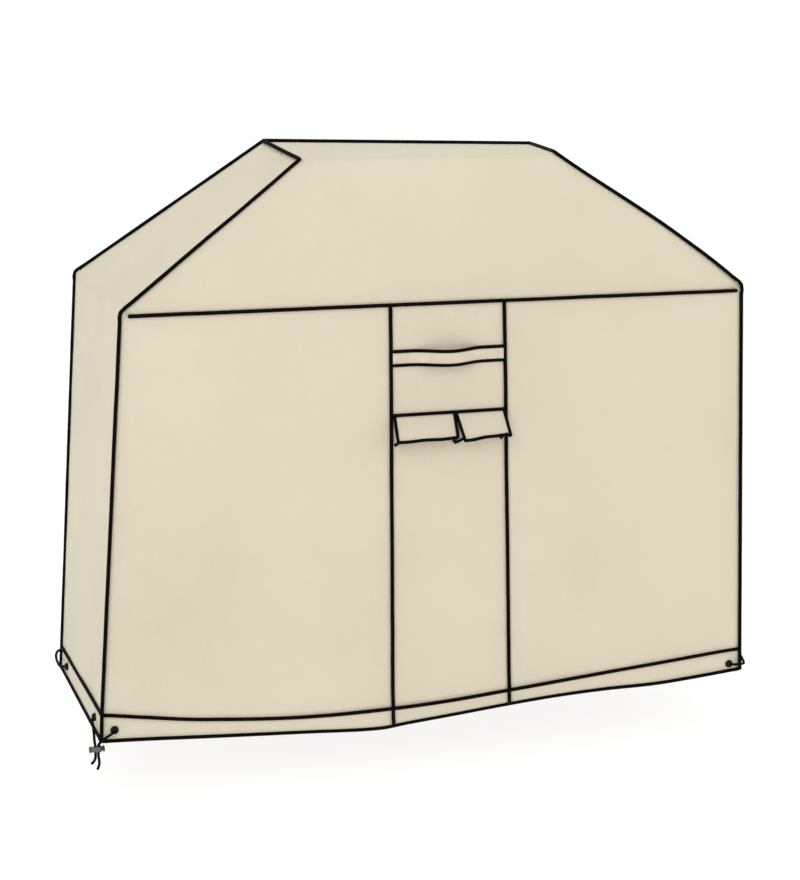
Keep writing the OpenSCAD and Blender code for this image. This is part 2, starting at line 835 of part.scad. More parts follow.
roof_panel();
left_end_panel();
right_end_panel();
back_panel();
front_left_panel();
front_centre_panel();
front_right_panel();
left_arch_piping();
right_arch_piping();
top_back_piping();
front_shoulder_piping();
centre_left_piping();
centre_right_piping();
hem_tape();
hem_binding();
hem_facing_front();
hem_facing_back();
hem_facing_left();
hem_facing_right();
handle_tab_left();
handle_tab_right();
handle_strap();
vent_mesh();
vent_window_binding();
vent_flap_left();
vent_flap_right();
vent_stiffener_left();
vent_stiffener_right();
vent_gusset_left_outer();
vent_gusset_left_inner();
vent_gusset_right_inner();
vent_gusset_right_outer();
eyelets();
eyelet_washers();
drawcord();
drawcord_end_side();
drawcord_end_front();
cord_lock_housing();
cord_lock_plunger();
cord_lock_spring();
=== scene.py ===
"""Looks for the grill cover: simulated canvas panels, piping, handle, vent, eyelets, drawcord and cord lock.
Metres, in the CAD frame: the origin is over the cover's middle, level with its flat top; +X is to the
right, +Y to the back and +Z up."""

import math

import bmesh
import bpy
import numpy as np
from mathutils import Matrix, Vector, noise
from mathutils.bvhtree import BVHTree


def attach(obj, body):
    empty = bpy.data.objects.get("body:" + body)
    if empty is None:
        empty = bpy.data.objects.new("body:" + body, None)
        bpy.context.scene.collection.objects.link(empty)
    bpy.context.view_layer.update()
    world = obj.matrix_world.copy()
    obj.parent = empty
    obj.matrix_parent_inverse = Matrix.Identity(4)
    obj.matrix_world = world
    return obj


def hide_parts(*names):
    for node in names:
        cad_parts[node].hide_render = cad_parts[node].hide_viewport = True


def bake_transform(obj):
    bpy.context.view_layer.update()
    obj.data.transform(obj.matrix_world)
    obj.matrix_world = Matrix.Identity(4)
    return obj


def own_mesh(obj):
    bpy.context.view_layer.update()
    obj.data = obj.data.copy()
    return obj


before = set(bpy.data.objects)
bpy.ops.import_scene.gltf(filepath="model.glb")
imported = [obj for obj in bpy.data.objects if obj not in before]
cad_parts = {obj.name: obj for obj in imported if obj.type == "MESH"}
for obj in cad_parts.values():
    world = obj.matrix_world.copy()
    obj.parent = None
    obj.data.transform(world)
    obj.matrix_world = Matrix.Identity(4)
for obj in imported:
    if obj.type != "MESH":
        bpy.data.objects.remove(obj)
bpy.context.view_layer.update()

# ---- Driving sizes, the same as the CAD's ----
HALF_W, HALF_D = 0.700, 0.260
COVER_H, ROOF_DROP = 1.220, 0.300
FLARE = 0.050
TOP_FRONT_HALF, TOP_BACK_HALF = 0.290, 0.315
TOP_FRONT_Y, TOP_BACK_Y = -0.160, 0.050
BAND_H = 0.052
FRONT_OUT, FRONT_EDGE_OUT = 0.055, 0.025
BACK_OUT, BACK_EDGE_OUT = 0.035, 0.018
BACK_SEAM_DROP, BACK_EDGE_DROP = 0.014, 0.010
BULGE_START = 0.36
SEAM_INSET = 0.004
CLOTH_T = 0.0012
GAP = 0.0003
HANDLE_Z = -0.426
STRAP_W, STRAP_T, STRAP_BOW, STRAP_TAB = 0.030, 0.0024, 0.028, 0.036
VENT_Z = -0.552
FLAP_LEN, FLAP_ANGLE = 0.060, math.radians(38)
FLAP_SPLIT_X, SPLIT_GAP = 0.028, 0.002
CORD_D, CORD_DEPTH = 0.006, 0.0056
EYELET_D, EYELET_HOLE = 0.018, 0.0105
EYELET_FRONT, EYELET_SIDE = 0.025, 0.080
LOCK_X, LOCK_Y, LOCK_Z = -0.769, -0.267, -1.232
LOCK_AT = Vector((LOCK_X, LOCK_Y, LOCK_Z))

SHOULDER_Z, HEM_Z = -ROOF_DROP, -COVER_H
END_H = COVER_H - ROOF_DROP
END_TILT = math.atan(FLARE / END_H)
BAND_MID_V = 1.5

# Drops of the hem seam and hem edge below the line between their corners, across the front.
SEAM_DROPS = [(-1, 0), (-0.86, 0.014), (-0.72, 0.025), (-0.44, 0.035), (-0.16, 0.033), (0.02, 0.028),
              (0.2, 0.021), (0.51, 0.013), (0.76, 0.009), (1, 0)]
EDGE_DROPS = [(-1, 0), (-0.86, 0.006), (-0.7, 0.013), (-0.41, 0.024), (-0.19, 0.033), (-0.1, 0.027),
              (0.05, 0.019), (0.21, 0.011), (0.37, 0.006), (0.54, 0.006), (0.71, 0.010), (0.87, 0.006),
              (1, 0)]

# Each centre seam's place at the shoulder, and how far it runs to the right down the front.
SEAM_LEFT = (-0.125, [(0, 0), (0.36, 0.0085), (0.6, 0.0105), (0.8, 0.009), (1, 0.006), (2, 0.017)])
SEAM_RIGHT = (0.133, [(0, 0), (0.36, 0.0145), (0.6, 0.020), (0.8, 0.021), (1, 0.020), (2, 0.0325)])

# How far the corners of the settled cloth lie from the pattern's, in X and Z, at the levels of the top, the
# shoulder, the hem seam and the hem edge. The order is front left, front right, back right, back left.
SETTLING = [
    [(-0.001, -0.012), (-0.003, -0.008), (0.001, -0.009), (0.003, 0.008)],
    [(0.002, -0.002), (0.005, -0.0055), (0, 0), (0.006, 0.004)],
    [(-0.006, 0.0085), (-0.001, 0.008), (0, -0.002), (0.0015, -0.009)],
    [(-0.0055, 0.0020), (-0.001, 0.010), (0, 0), (0.001, -0.005)],
]
SHOULDER_SAG = 0.0075  # of the whole front shoulder
HIP_BOW = 0.0115  # of the right hip's outward curve
CORNER_RISE, RISE_START = 0.005, 0.65  # of the right shoulder's corner, and where on the hip it starts
LEFT_SLIP, RIGHT_SLIP = 0.0040, 0.0085  # of the drawcord and eyelets, down the band at the front corners
SLIP_START, SLIP_FADE, SLIP_DEPTH = 0.55, 0.15, 0.16  # X that it starts at, and its reach in X and in Y


# ---- Small helpers ----
def mix(a, b, t):
    return a + (b - a) * t


def share(value):
    return min(1.0, max(0.0, value))


def assign(target, **values):
    for key, value in values.items():
        setattr(target, key, value)


def smooth_curve(pairs, u):
    """A smooth curve through pairs of place and value."""
    x = [p[0] for p in pairs]
    y = [p[1] for p in pairs]
    i = max(0, min(len(x) - 2, int(np.searchsorted(x, u)) - 1))

    def slope(k):
        a, b = max(k - 1, 0), min(k + 1, len(x) - 1)
        return (y[b] - y[a]) / (x[b] - x[a])

    h = x[i + 1] - x[i]
    t = (u - x[i]) / h
    near = (2 * t ** 3 - 3 * t ** 2 + 1) * y[i] + (t ** 3 - 2 * t ** 2 + t) * h * slope(i)
    far = (3 * t ** 2 - 2 * t ** 3) * y[i + 1] + (t ** 3 - t ** 2) * h * slope(i + 1)
    return near + far


def side_x(z):
    return HALF_W + FLARE * (SHOULDER_Z - z) / END_H


def face_out(u, v, out, edge_out):
    swell = (1 - u * u) ** 2
    if v > 1:
        return swell * mix(out, edge_out, v - 1)
    return swell * out * (max(0, v - BULGE_START) / (1 - BULGE_START)) ** 1.6


def face_z(seam_z, edge_z, v):
    return mix(SHOULDER_Z, seam_z, v) if v <= 1 else mix(seam_z, edge_z, v - 1)


def settled(p):
    """Moves a point of the pattern to where the hung cloth's nearest corners draw it."""
    levels = [0, SHOULDER_Z, HEM_Z + BAND_H, HEM_Z]
    i = 0 if p.z > levels[1] else 1 if p.z > levels[2] else 2
    t = share((p.z - levels[i]) / (levels[i + 1] - levels[i]))
    half_w, front, back = side_x(min(p.z, SHOULDER_Z)), -HALF_D, HALF_D
    if p.z > SHOULDER_Z:
        half_w = mix(TOP_BACK_HALF, HALF_W, t)
        front, back = mix(TOP_FRONT_Y, front, t), mix(TOP_BACK_Y, back, t)
    a = share((p.x / half_w + 1) / 2)
    b = share((p.y - front) / (back - front))
    move = [0.0, 0.0]
    for part, (fl, fr, br, bl) in ((1 - t, SETTLING[i]), (t, SETTLING[i + 1])):
        for axis in (0, 1):
            move[axis] += part * mix(mix(fl[axis], fr[axis], a), mix(bl[axis], br[axis], a), b)
    return p + Vector((move[0], 0, move[1]))


def settled_cord(p):
    """The same for the drawcord and eyelets, which sit lower in the band at the front corners."""
    across = share((abs(p.x) - SLIP_START) / SLIP_FADE)
    back = share((p.y + HALF_D) / SLIP_DEPTH)
    slip = RIGHT_SLIP if p.x > 0 else LEFT_SLIP
    return settled(p) - Vector((0, 0, slip * across * (1 - back)))


def front_point(u, v):
    """u runs from -1 at the left to 1 at the right; v is 0 at the shoulder, 1 at the hem seam and 2 at
    the hem's edge."""
    z = face_z(HEM_Z + BAND_H - smooth_curve(SEAM_DROPS, u), HEM_Z - smooth_curve(EDGE_DROPS, u), v)
    return Vector((u * side_x(z), -HALF_D - face_out(u, v, FRONT_OUT, FRONT_EDGE_OUT), z))


def back_point(u, v):
    ease = 1 - u * u
    z = face_z(HEM_Z + BAND_H - BACK_SEAM_DROP * ease, HEM_Z - BACK_EDGE_DROP * ease, v)
    return Vector((u * side_x(z), HALF_D + face_out(u, v, BACK_OUT, BACK_EDGE_OUT), z))


def end_point(side, w, v):
    """w runs from 0 at the front to 1 at the back; side is -1 for the left end and 1 for the right."""
    z = face_z(HEM_Z + BAND_H, HEM_Z, v)
    return Vector((side * side_x(z), mix(-HALF_D, HALF_D, w), z))


def seam_u(seam, v):
    start, drift = seam
    return (start + smooth_curve(drift, v)) / side_x(face_z(HEM_Z + BAND_H, HEM_Z, v))


# ---- Camera ----
def make_camera():
    yaw, pitch, roll = math.radians(19.03), math.radians(13.11), math.radians(0.66)
    data = bpy.data.cameras.new("camera")
    assign(data, lens=86.57, sensor_width=36, clip_end=100)
    camera = bpy.data.objects.new("camera", data)
    bpy.context.scene.collection.objects.link(camera)
    ahead = Vector((math.sin(yaw) * math.cos(pitch), math.cos(yaw) * math.cos(pitch), -math.sin(pitch)))
    right = Vector((math.cos(yaw), -math.sin(yaw), 0))
    up = right.cross(ahead)
    tilted_right = right * math.cos(roll) + up * math.sin(roll)
    tilted_up = up * math.cos(roll) - right * math.sin(roll)
    turn = Matrix((tilted_right, tilted_up, -ahead)).transposed().to_4x4()
    camera.matrix_world = Matrix.Translation((-1.543, -4.455, 0.428)) @ turn
    bpy.context.scene.camera = camera


make_camera()


# ---- Materials ----
STRANDS = 4
BRAID_TURN = 2 * math.pi / 0.005
MATERIALS = {}


def new_material(name, rough=0.8, metal=0.0, sheen=0.0, gloss=0.5, **more):
    """Adds a Principled material to MATERIALS, and gives its node tree and its shader's inputs."""
    m = MATERIALS[name] = bpy.data.materials.new(name)
    m.use_nodes = True
    inputs = m.node_tree.nodes["Principled BSDF"].inputs
    values = {"Roughness": rough, "Metallic": metal, "Sheen Weight": sheen, "Specular IOR Level": gloss}
    for key, value in {**values, **more}.items():
        inputs[key].default_value = value
    return m.node_tree, inputs


def feed(socket, value):
    """Links a node's output to a socket, or sets the socket to a constant."""
    if hasattr(value, "is_output"):
        socket.id_data.links.new(value, socket)
    else:
        socket.default_value = value


def add_node(tree, kind, **settings):
    """A node; each setting feeds the input of that name, or else is an attribute."""
    node = tree.nodes.new(kind)
    for key, value in settings.items():
        if key in node.inputs:
            feed(node.inputs[key], value)
        else:
            setattr(node, key, value)
    return node


def math_node(operation, *values):
    """A calculation with sockets and numbers, the first of them a socket."""
    node = add_node(values[0].id_data, "ShaderNodeMath", operation=operation)
    for socket, value in zip(node.inputs, values):
        feed(socket, value)
    return node.outputs[0]


def times(a, b):
    return math_node("MULTIPLY", a, b)


def plus(a, b):
    return math_node("ADD", a, b)


def noise_node(vector, scale, detail=3.0, rough=0.5, stretch=None):
    tree = vector.id_data
    if stretch:
        vector = add_node(tree, "ShaderNodeMapping", Vector=vector, Scale=stretch).outputs[0]
    node = add_node(tree, "ShaderNodeTexNoise", Vector=vector, Scale=scale, Detail=detail, Roughness=rough)
    return node.outputs["Fac"]


def flat_place(tree):
    return add_node(tree, "ShaderNodeUVMap").outputs[0]


def solid_place(tree):
    return add_node(tree, "ShaderNodeTexCoord").outputs["Object"]


def shade_of(colour, factor):
    return tuple(min(1.0, c * factor) for c in colour)


def shades(fac, colour, *stops):
    """A ramp of shades of one colour; each stop is a place and a factor."""
    node = add_node(fac.id_data, "ShaderNodeValToRGB", Fac=fac)
    elements = node.color_ramp.elements
    while len(elements) < len(stops):
        elements.new(0.5)
    for element, (place, factor) in zip(elements, stops):
        element.position = place
        element.color = (*shade_of(colour, factor), 1)
    return node.outputs["Color"]


def finish(inputs, base, *layers):
    """Feeds a shader its base colour, and bumps given as (height, strength, distance in metres)."""
    feed(inputs["Base Color"], base)
    socket = inputs["Normal"]
    for height, strength, distance in reversed(layers):
        node = add_node(base.id_data, "ShaderNodeBump", Strength=strength, Distance=distance, Height=height)
        feed(socket, node.outputs["Normal"])
        socket = node.inputs["Normal"]


def weave(uv, pitch):
    """Height of a plain weave: over and under threads at the given pitch, in the UV's metres."""
    split = add_node(uv.id_data, "ShaderNodeSeparateXYZ", Vector=uv)
    waves = [math_node("SINE", times(split.outputs[i], 2 * math.pi / pitch)) for i in (0, 1)]
    return plus(times(*waves), 1.0)


def canvas_material(name, colour, pitch=0.0014, seam_shade_and_puckers=True):
    """Heavy cotton canvas: plain weave, slubs, and puckers and painted shade beside the seams."""
    tree, inputs = new_material(name, rough=0.86, sheen=0.08, gloss=0.3)
    uv, place = flat_place(tree), solid_place(tree)
    slub = noise_node(uv, 1.0, 2.0, stretch=(25, 700, 1))
    slub_across = noise_node(uv, 1.0, 2.0, stretch=(700, 25, 1))
    threads = plus(slub, slub_across)
    tone = plus(times(noise_node(place, 2.2, 4.0, 0.55), 0.6), times(threads, 0.2))
    base = shades(tone, colour, (0.30, 0.93), (0.52, 1), (0.75, 1.05))
    layers = [(weave(uv, pitch), 0.35, 0.0003), (threads, 0.25, 0.0006)]
    if seam_shade_and_puckers:
        near = add_node(tree, "ShaderNodeAttribute", attribute_name="seam_near").outputs["Fac"]
        layers.append((times(noise_node(place, 55.0, 2.0), near), 0.6, 0.004))
        layers.append((noise_node(place, 9.0, 5.0, 0.6), 0.35, 0.006))
        # painted shade: darkens the canvas beside the seams, where shade from the piping falls
        painted_seam_shade = add_node(tree, "ShaderNodeMix", data_type="RGBA", blend_type="MULTIPLY",
                        Factor=times(near, 0.12), A=base, B=(0.80, 0.76, 0.68, 1))
        base = painted_seam_shade.outputs["Result"]
    finish(inputs, base, *layers)


def tape_material(name, colour, ribs=0.0016, rough=0.72, sheen=0.1, gloss=0.3, spread=0.08):
    """Woven binding or webbing: fine ribs across its length and slightly uneven colour."""
    tree, inputs = new_material(name, rough, sheen=sheen, gloss=gloss)
    place = solid_place(tree)
    fine = noise_node(place, 900.0, 1.0)
    tone = plus(times(noise_node(place, 30.0, 4.0, 0.6), 0.6), times(fine, 0.4))
    base = shades(tone, colour, (0.32, 1 - spread), (0.5, 1), (0.72, 1 + spread))
    finish(inputs, base, (weave(flat_place(tree), ribs), 0.5, 0.0004), (fine, 0.2, 0.0003))


def cord_material(name, colour):
    """Braided cord: crossing strands wound round its length."""
    tree, inputs = new_material(name, 0.6, gloss=0.05)
    split = add_node(tree, "ShaderNodeSeparateXYZ", Vector=flat_place(tree))
    turns = times(split.outputs[0], 2 * STRANDS / CORD_D)
    along = times(split.outputs[1], BRAID_TURN)
    one, other = (math_node("SINE", math_node(way, turns, along)) for way in ("ADD", "SUBTRACT"))
    braid = math_node("MAXIMUM", one, other)
    # painted shade and painted highlight: darker in the grooves between the strands, lighter on their crowns
    base = shades(times(braid, 0.5), colour, (0.0, 0.5), (0.5, 1.4))
    finish(inputs, base, (braid, 0.8, 0.0006))


def plastic_material(name, colour, rough=0.42):
    """Moulded plastic with a fine spark-eroded grain and rubbed patches."""
    tree, inputs = new_material(name, rough)
    place = solid_place(tree)
    patches = noise_node(place, 120.0, 3.0)
    limits = {"To Min": rough - 0.08, "To Max": rough + 0.12}
    polish = add_node(tree, "ShaderNodeMapRange", Value=patches, **limits)
    feed(inputs["Roughness"], polish.outputs[0])
    base = shades(patches, colour, (0.3, 0.88), (0.7, 1.12))
    finish(inputs, base, (noise_node(place, 2600.0, 2.0), 0.15, 0.0001))


def metal_material(name, colour, rough, metal, gloss=0.25):
    """Enamelled or plain metal with fine scratches."""
    tree, inputs = new_material(name, rough, metal, gloss=gloss)
    place = solid_place(tree)
    scratches = noise_node(place, 1.0, 3.0, stretch=(300, 4000, 1500))
    base = shades(noise_node(place, 180.0, 4.0, 0.6), colour, (0.35, 0.7), (0.65, 1.3))
    finish(inputs, base, (scratches, 0.15, 0.0001))


def mesh_material(name, colour):
    """The vent's net: threads, with painted shade in the hollows between them."""
    tree, inputs = new_material(name, 0.7)
    cells = weave(flat_place(tree), 0.004)
    # painted shade: the weave's low parts, the hollows between the threads, are darkened
    base = shades(times(cells, 0.5), colour, (0.35, 0.3), (0.7, 1))
    finish(inputs, base, (cells, 0.8, 0.0006))


CANVAS_COLOUR = (0.700, 0.643, 0.497)
canvas_material("canvas", CANVAS_COLOUR)
canvas_material("facing_cloth", shade_of(CANVAS_COLOUR, 0.86), seam_shade_and_puckers=False)
# painted highlight: the vent's side folds get a near-white copy of the canvas, standing in for the light they
# catch
canvas_material("gusset_cloth", (0.93, 0.91, 0.86), 0.0010, seam_shade_and_puckers=False)
tape_material("trim", (0.0022, 0.0019, 0.0019), sheen=0.0, gloss=0.05, spread=0.4)
tape_material("webbing", (0.70, 0.635, 0.48), 0.0022, 0.8)
tape_material("thread", (0.60, 0.54, 0.40), 0.0008, 0.7)
mesh_material("mesh", (0.06, 0.06, 0.058))
metal_material("eyelet_metal", (0.0065, 0.0058, 0.0058), 0.45, 0.0, 0.12)
cord_material("cord", (0.0032, 0.0028, 0.0028))
plastic_material("lock_plastic", (0.125, 0.118, 0.116))
plastic_material("lock_button", (0.030, 0.027, 0.026))
plastic_material("stiffener", (0.15, 0.14, 0.13))
metal_material("spring_steel", (0.6, 0.6, 0.6), 0.3, 1.0)


# ---- Mesh building ----
def make_object(name, points, faces, slot, uvs=None, smooth=True):
    """A mesh object with its material; uvs is one pair per point."""
    mesh = bpy.data.meshes.new(name)
    mesh.from_pydata([tuple(p) for p in points], [], faces)
    if uvs is not None:
        layer = mesh.uv_layers.new(name="UVMap")
        for loop in mesh.loops:
            layer.data[loop.index].uv = uvs[loop.vertex_index]
    mesh.materials.append(MATERIALS[slot])
    mesh.polygons.foreach_set("use_smooth", [smooth] * len(mesh.polygons))
    obj = bpy.data.objects.new(name, mesh)
    bpy.context.scene.collection.objects.link(obj)
    return obj


def place_piece(obj, body="cover", nodes=()):
    """Parents a piece to the body it rides on, and hides the CAD nodes that it takes the place of."""
    if body:
        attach(obj, body)
    if nodes:
        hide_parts(*nodes)
    return obj


def grid(rows, columns):
    """The faces of a grid of points, one row after another."""
    row = columns + 1
    return [(a, a + 1, a + row + 1, a + row) for i in range(rows) for a in range(i * row, i * row + columns)]


def spline(points, step, closed=False):
    """Even points, about step apart, on a smooth curve through the given points."""
    p = [np.array(q, float) for q in points]
    p = p[-1:] + p + p[:2] if closed else [2 * p[0] - p[1]] + p + [2 * p[-1] - p[-2]]
    out = []
    for a, b, c, d in zip(p, p[1:], p[2:], p[3:]):
        count = max(1, int(round(np.linalg.norm(c - b) / step)))
        for k in range(count):
            t = k / count
            out.append(0.5 * (2 * b + (c - a) * t + (2 * a - 5 * b + 4 * c - d) * t * t
                              + (3 * b - a - 3 * c + d) * t ** 3))
    if not closed:
        out.append(p[-2])
    return [Vector(q) for q in out]


def frames_along(path, closed=False):
    """Directions and carried side vectors along a path."""
    before = path[-1:] + path[:-1] if closed else path[:1] + path[:-1]
    after = path[1:] + path[:1] if closed else path[1:] + path[-1:]
    heads = [(b - a).normalized() for a, b in zip(before, after)]
    side = Vector((0, 0, 1)) if abs(heads[0].z) < 0.9 else Vector((0, 1, 0))
    sides = []
    for head in heads:
        side = (side - head * side.dot(head)).normalized()
        sides.append(side)
    return heads, sides


# How far along its rounding each of a tube's end rings is, and its share of the radius.
END_RINGS = [(0.35, 0.92), (0.75, 0.55)]
ROUNDING = 0.6


def tube_parts(path, radius, sides, closed, round_ends, braid):
    """Points, faces and UVs in metres of a tube along a path; braid is the depth of its crossing strands."""
    travelled = [0.0]
    for a, b in zip(path, path[1:]):
        travelled.append(travelled[-1] + (b - a).length)
    rings = [(p, radius, head, side, along)
             for p, head, side, along in zip(path, *frames_along(path, closed), travelled)]
    if round_ends and not closed:
        ends = ((rings[0], -1), (rings[-1], 1))
        for reach, narrow in END_RINGS:
            back = radius * reach * ROUNDING
            first, last = ((p + head * (way * back), radius * narrow, head, side, along + way * back)
                           for (p, _, head, side, along), way in ends)
            rings = [first, *rings, last]
    points, uvs, faces = [], [], []
    for centre, r, head, side, along in rings:
        other = head.cross(side)
        for k in range(sides + 1):
            angle = 2 * math.pi * k / sides
            turn = STRANDS * angle
            wave = max(math.sin(turn + BRAID_TURN * along), math.sin(turn - BRAID_TURN * along))
            reach = r * (1 - braid + braid * wave)
            points.append(centre + side * (reach * math.cos(angle)) + other * (reach * math.sin(angle)))
            uvs.append((angle * radius, along))
    count, row = len(rings), sides + 1
    for i in range(count if closed else count - 1):
        a, b = i * row, (i + 1) % count * row
        faces += [(a + k, a + k + 1, b + k + 1, b + k) for k in range(sides)]
    if not closed:
        faces.append(tuple(reversed(range(sides))))
        faces.append(tuple((count - 1) * row + k for k in range(sides)))
    return points, faces, uvs


def tubes(name, paths, radius, slot, body="cover", nodes=(), sides=10, closed=False, round_ends=True,
          braid=0.0):
    """One piece made of circular tubes along paths."""
    points, faces, uvs = [], [], []
    for path in paths:
        p, f, u = tube_parts(path, radius, sides, closed, round_ends, braid)
        faces += [tuple(len(points) + i for i in face) for face in f]
        points += p
        uvs += u
    obj = make_object(name, points, faces, slot, uvs)
    weld(obj)
    return place_piece(obj, body, nodes)


def edit_mesh(obj, work):
    """Runs work on the object's mesh, opened for editing."""
    edit = bmesh.new()
    edit.from_mesh(obj.data)
    work(edit)
    edit.to_mesh(obj.data)
    edit.free()


def weld(obj, distance=1e-6):
    edit_mesh(obj, lambda edit: bmesh.ops.remove_doubles(edit, verts=edit.verts, dist=distance))


def turn_outwards(obj):
    edit_mesh(obj, lambda edit: bmesh.ops.recalc_face_normals(edit, faces=edit.faces))


def sharpen(obj, degrees):
    """Smooth shading, broken at edges sharper than the angle."""
    obj.data.polygons.foreach_set("use_smooth", [True] * len(obj.data.polygons))
    obj.data.set_sharp_from_angle(angle=math.radians(degrees))


def modify(obj, kind, **settings):
    """Adds a modifier and applies it."""
    assign(obj.modifiers.new(kind, kind), **settings)
    graph = bpy.context.evaluated_depsgraph_get()
    old, mesh = obj.data, bpy.data.meshes.new_from_object(obj.evaluated_get(graph))
    obj.modifiers.clear()
    obj.data = mesh
    bpy.data.meshes.remove(old)
    mesh.name = obj.name


# ---- The drawcord, on the CAD's routes ----
CORNER = Vector((side_x(HEM_Z + BAND_H / 2), HALF_D, HEM_Z + BAND_H / 2))
# The cord's places in millimetres. The loop's are outwards along X and Y, and up, from a corner of the band;
# the free ends' are X, Y and Z from the cord lock.
CORNER_LOOP = [
    (-5.6, -96, 0), (-6.4, -89, 0), (-6.4, -84.8, 0), (-4.6, -81.4, 0), (-1.4, -80.1, 0), (2, -79.9, 0),
    (5.5, -79, 0), (9, -76, 0), (11.5, -70, -2), (13, -60, -5), (14, -44, -9), (14.5, -20, -9),
    (15, 0, -4), (13.5, 10, 4), (7, 17, 10), (-6, 17, 12), (-17, 14, 8), (-22.5, 10, 3),
    (-24.4, 5.5, 0.6), (-24.9, 2, 0), (-25.1, -1.4, 0), (-26.4, -4.6, 0), (-29.8, -6.4, 0),
    (-34, -6.4, 0), (-41, -5.6, 0)]
SIDE_END_ROUTE = [
    (16, 87, 37.8), (12, 85, 37), (9.5, 79, 34.5), (7.5, 67, 29), (5.5, 54, 23.5), (3.5, 41, 19),
    (1, 28, 15.5), (-1.3, 16, 13), (-2.8, 7, 11.4), (-3.2, 2, 9.6), (-3.2, 0, 6.8), (-3.2, 0, 0),
    (-3.2, 0, -9), (-3.2, 0, -17), (-4.5, 0, -22.5), (-7.5, -0.3, -27.5), (-12, -0.6, -31.5)]
FRONT_END_ROUTE = [
    (44, 2.5, 35.2), (43, -1, 34.8), (40, -3.5, 33.5), (34, -4.5, 31), (27, -4.5, 27.5), (20, -4.3, 23.5),
    (13.5, -3.5, 19), (8, -2, 14.5), (4.4, -0.6, 10.5), (3.2, 0, 6.6), (3.2, 0, 0), (3.2, 0, -9),
    (3.2, 0, -17), (4.2, 0, -24), (4.6, 0, -31), (3.5, -0.3, -38), (0.5, -0.6, -45)]
CHANNEL_US = [float(u) for u in np.linspace(-0.93, 0.93, 15)]
EYELET_U = 1 - EYELET_FRONT / (HALF_W + FLARE)
SIDE_START = Vector((0.001 - CORNER.x, EYELET_SIDE - HALF_D, CORNER.z))
FRONT_START = Vector((EYELET_FRONT - HALF_W - FLARE, 0.001 - HALF_D, front_point(-EYELET_U, BAND_MID_V).z))
CARRIED_POINTS = 9


def loop_at(side, end):
    """The drawcord's loop round one corner; at the front right it runs level in front and rises behind."""
    points = []
    for x, y, z in CORNER_LOOP:
        if side > 0 > end:
            x, y, z = min(x, 10.5), min(y, 11), z * (-0.15 if z > 0 else -2.0)
        x, y, z = CORNER.x + x / 1000, CORNER.y + y / 1000, CORNER.z + z / 1000
        points.append(Vector((side * x, end * y, z)))
    return points


def offsets_from(start, steps):
    return [start + Vector(step) for step in steps]


def add_drawcord():
    """The part of the cord that runs in the hem's channels and round three corners."""
    inward = Vector((0, CORD_DEPTH, 0))
    path = offsets_from(SIDE_START, [(0, 0, 0), (0.0022, 0, 0), (0.0042, 0.0014, 0), (0.0046, 0.0046, 0),
                                     (0.0046, 0.014, 0)])
    path += loop_at(-1, 1) + [back_point(u, BAND_MID_V) - inward for u in CHANNEL_US]
    path += loop_at(1, 1)[::-1] + loop_at(1, -1)
    path += [front_point(u, BAND_MID_V) + inward for u in CHANNEL_US[::-1]]
    path += offsets_from(FRONT_START, [(0.0046, 0.0046, 0), (0.0014, 0.0042, 0), (0, 0.0022, 0), (0, 0, 0)])
    path = spline([settled_cord(p) for p in path], 0.003)
    tubes("drawcord_run", [path], CORD_D / 2, "cord", nodes=["drawcord"], sides=16)


def add_free_end(name, node, start, route):
    """One free end: out of its eyelet, down through the cord lock, and hanging."""
    shift = settled_cord(start) - start
    points = [start]
    points += [Vector((LOCK_X + x / 1000, LOCK_Y + y / 1000, LOCK_Z + z / 1000)) for x, y, z in route]
    points = [p + shift * max(0, 1 - i / CARRIED_POINTS) for i, p in enumerate(points)]
    path = spline(points, 0.0008)
    obj = tubes(name, [path], CORD_D / 2, "cord", nodes=[node], sides=24, braid=0.07)


add_free_end("cord_end_side", "drawcord_end_side", SIDE_START - Vector((GAP, 0, 0)), SIDE_END_ROUTE)
add_free_end("cord_end_front", "drawcord_end_front", FRONT_START - Vector((0, GAP, 0)), FRONT_END_ROUTE)
add_drawcord()

# ---- The whole cover as one cloth ----
CELLS_LEFT, CELLS_CENTRE, CELLS_RIGHT = 36, 16, 33
CELLS_FRONT = CELLS_LEFT + CELLS_CENTRE + CELLS_RIGHT
CELLS_END = 30
ROOF_ROWS, WALL_ROWS, BAND_ROWS = 18, 50, 4
SEAM_ROW = ROOF_ROWS + WALL_ROWS
ROWS = SEAM_ROW + BAND_ROWS
AROUND = 2 * (CELLS_FRONT + CELLS_END)
CORNERS = (0, CELLS_FRONT, CELLS_FRONT + CELLS_END, 2 * CELLS_FRONT + CELLS_END)
LEFT_SEAM, RIGHT_SEAM = CELLS_LEFT, CELLS_LEFT + CELLS_CENTRE
HIP_COLUMNS, SAG_ROWS = 8, 6
# The cloth is held this near the handle's line, and from here to here above the vent's hinge.
HANDLE_HOLD, VENT_HOLD = 0.022, (-0.072, 0.012)


def front_us(v):
    left, right = seam_u(SEAM_LEFT, v), seam_u(SEAM_RIGHT, v)
    return np.concatenate([np.linspace(-1, left, CELLS_LEFT + 1),
                           np.linspace(left, right, CELLS_CENTRE + 1)[1:],
                           np.linspace(right, 1, CELLS_RIGHT + 1)[1:]])


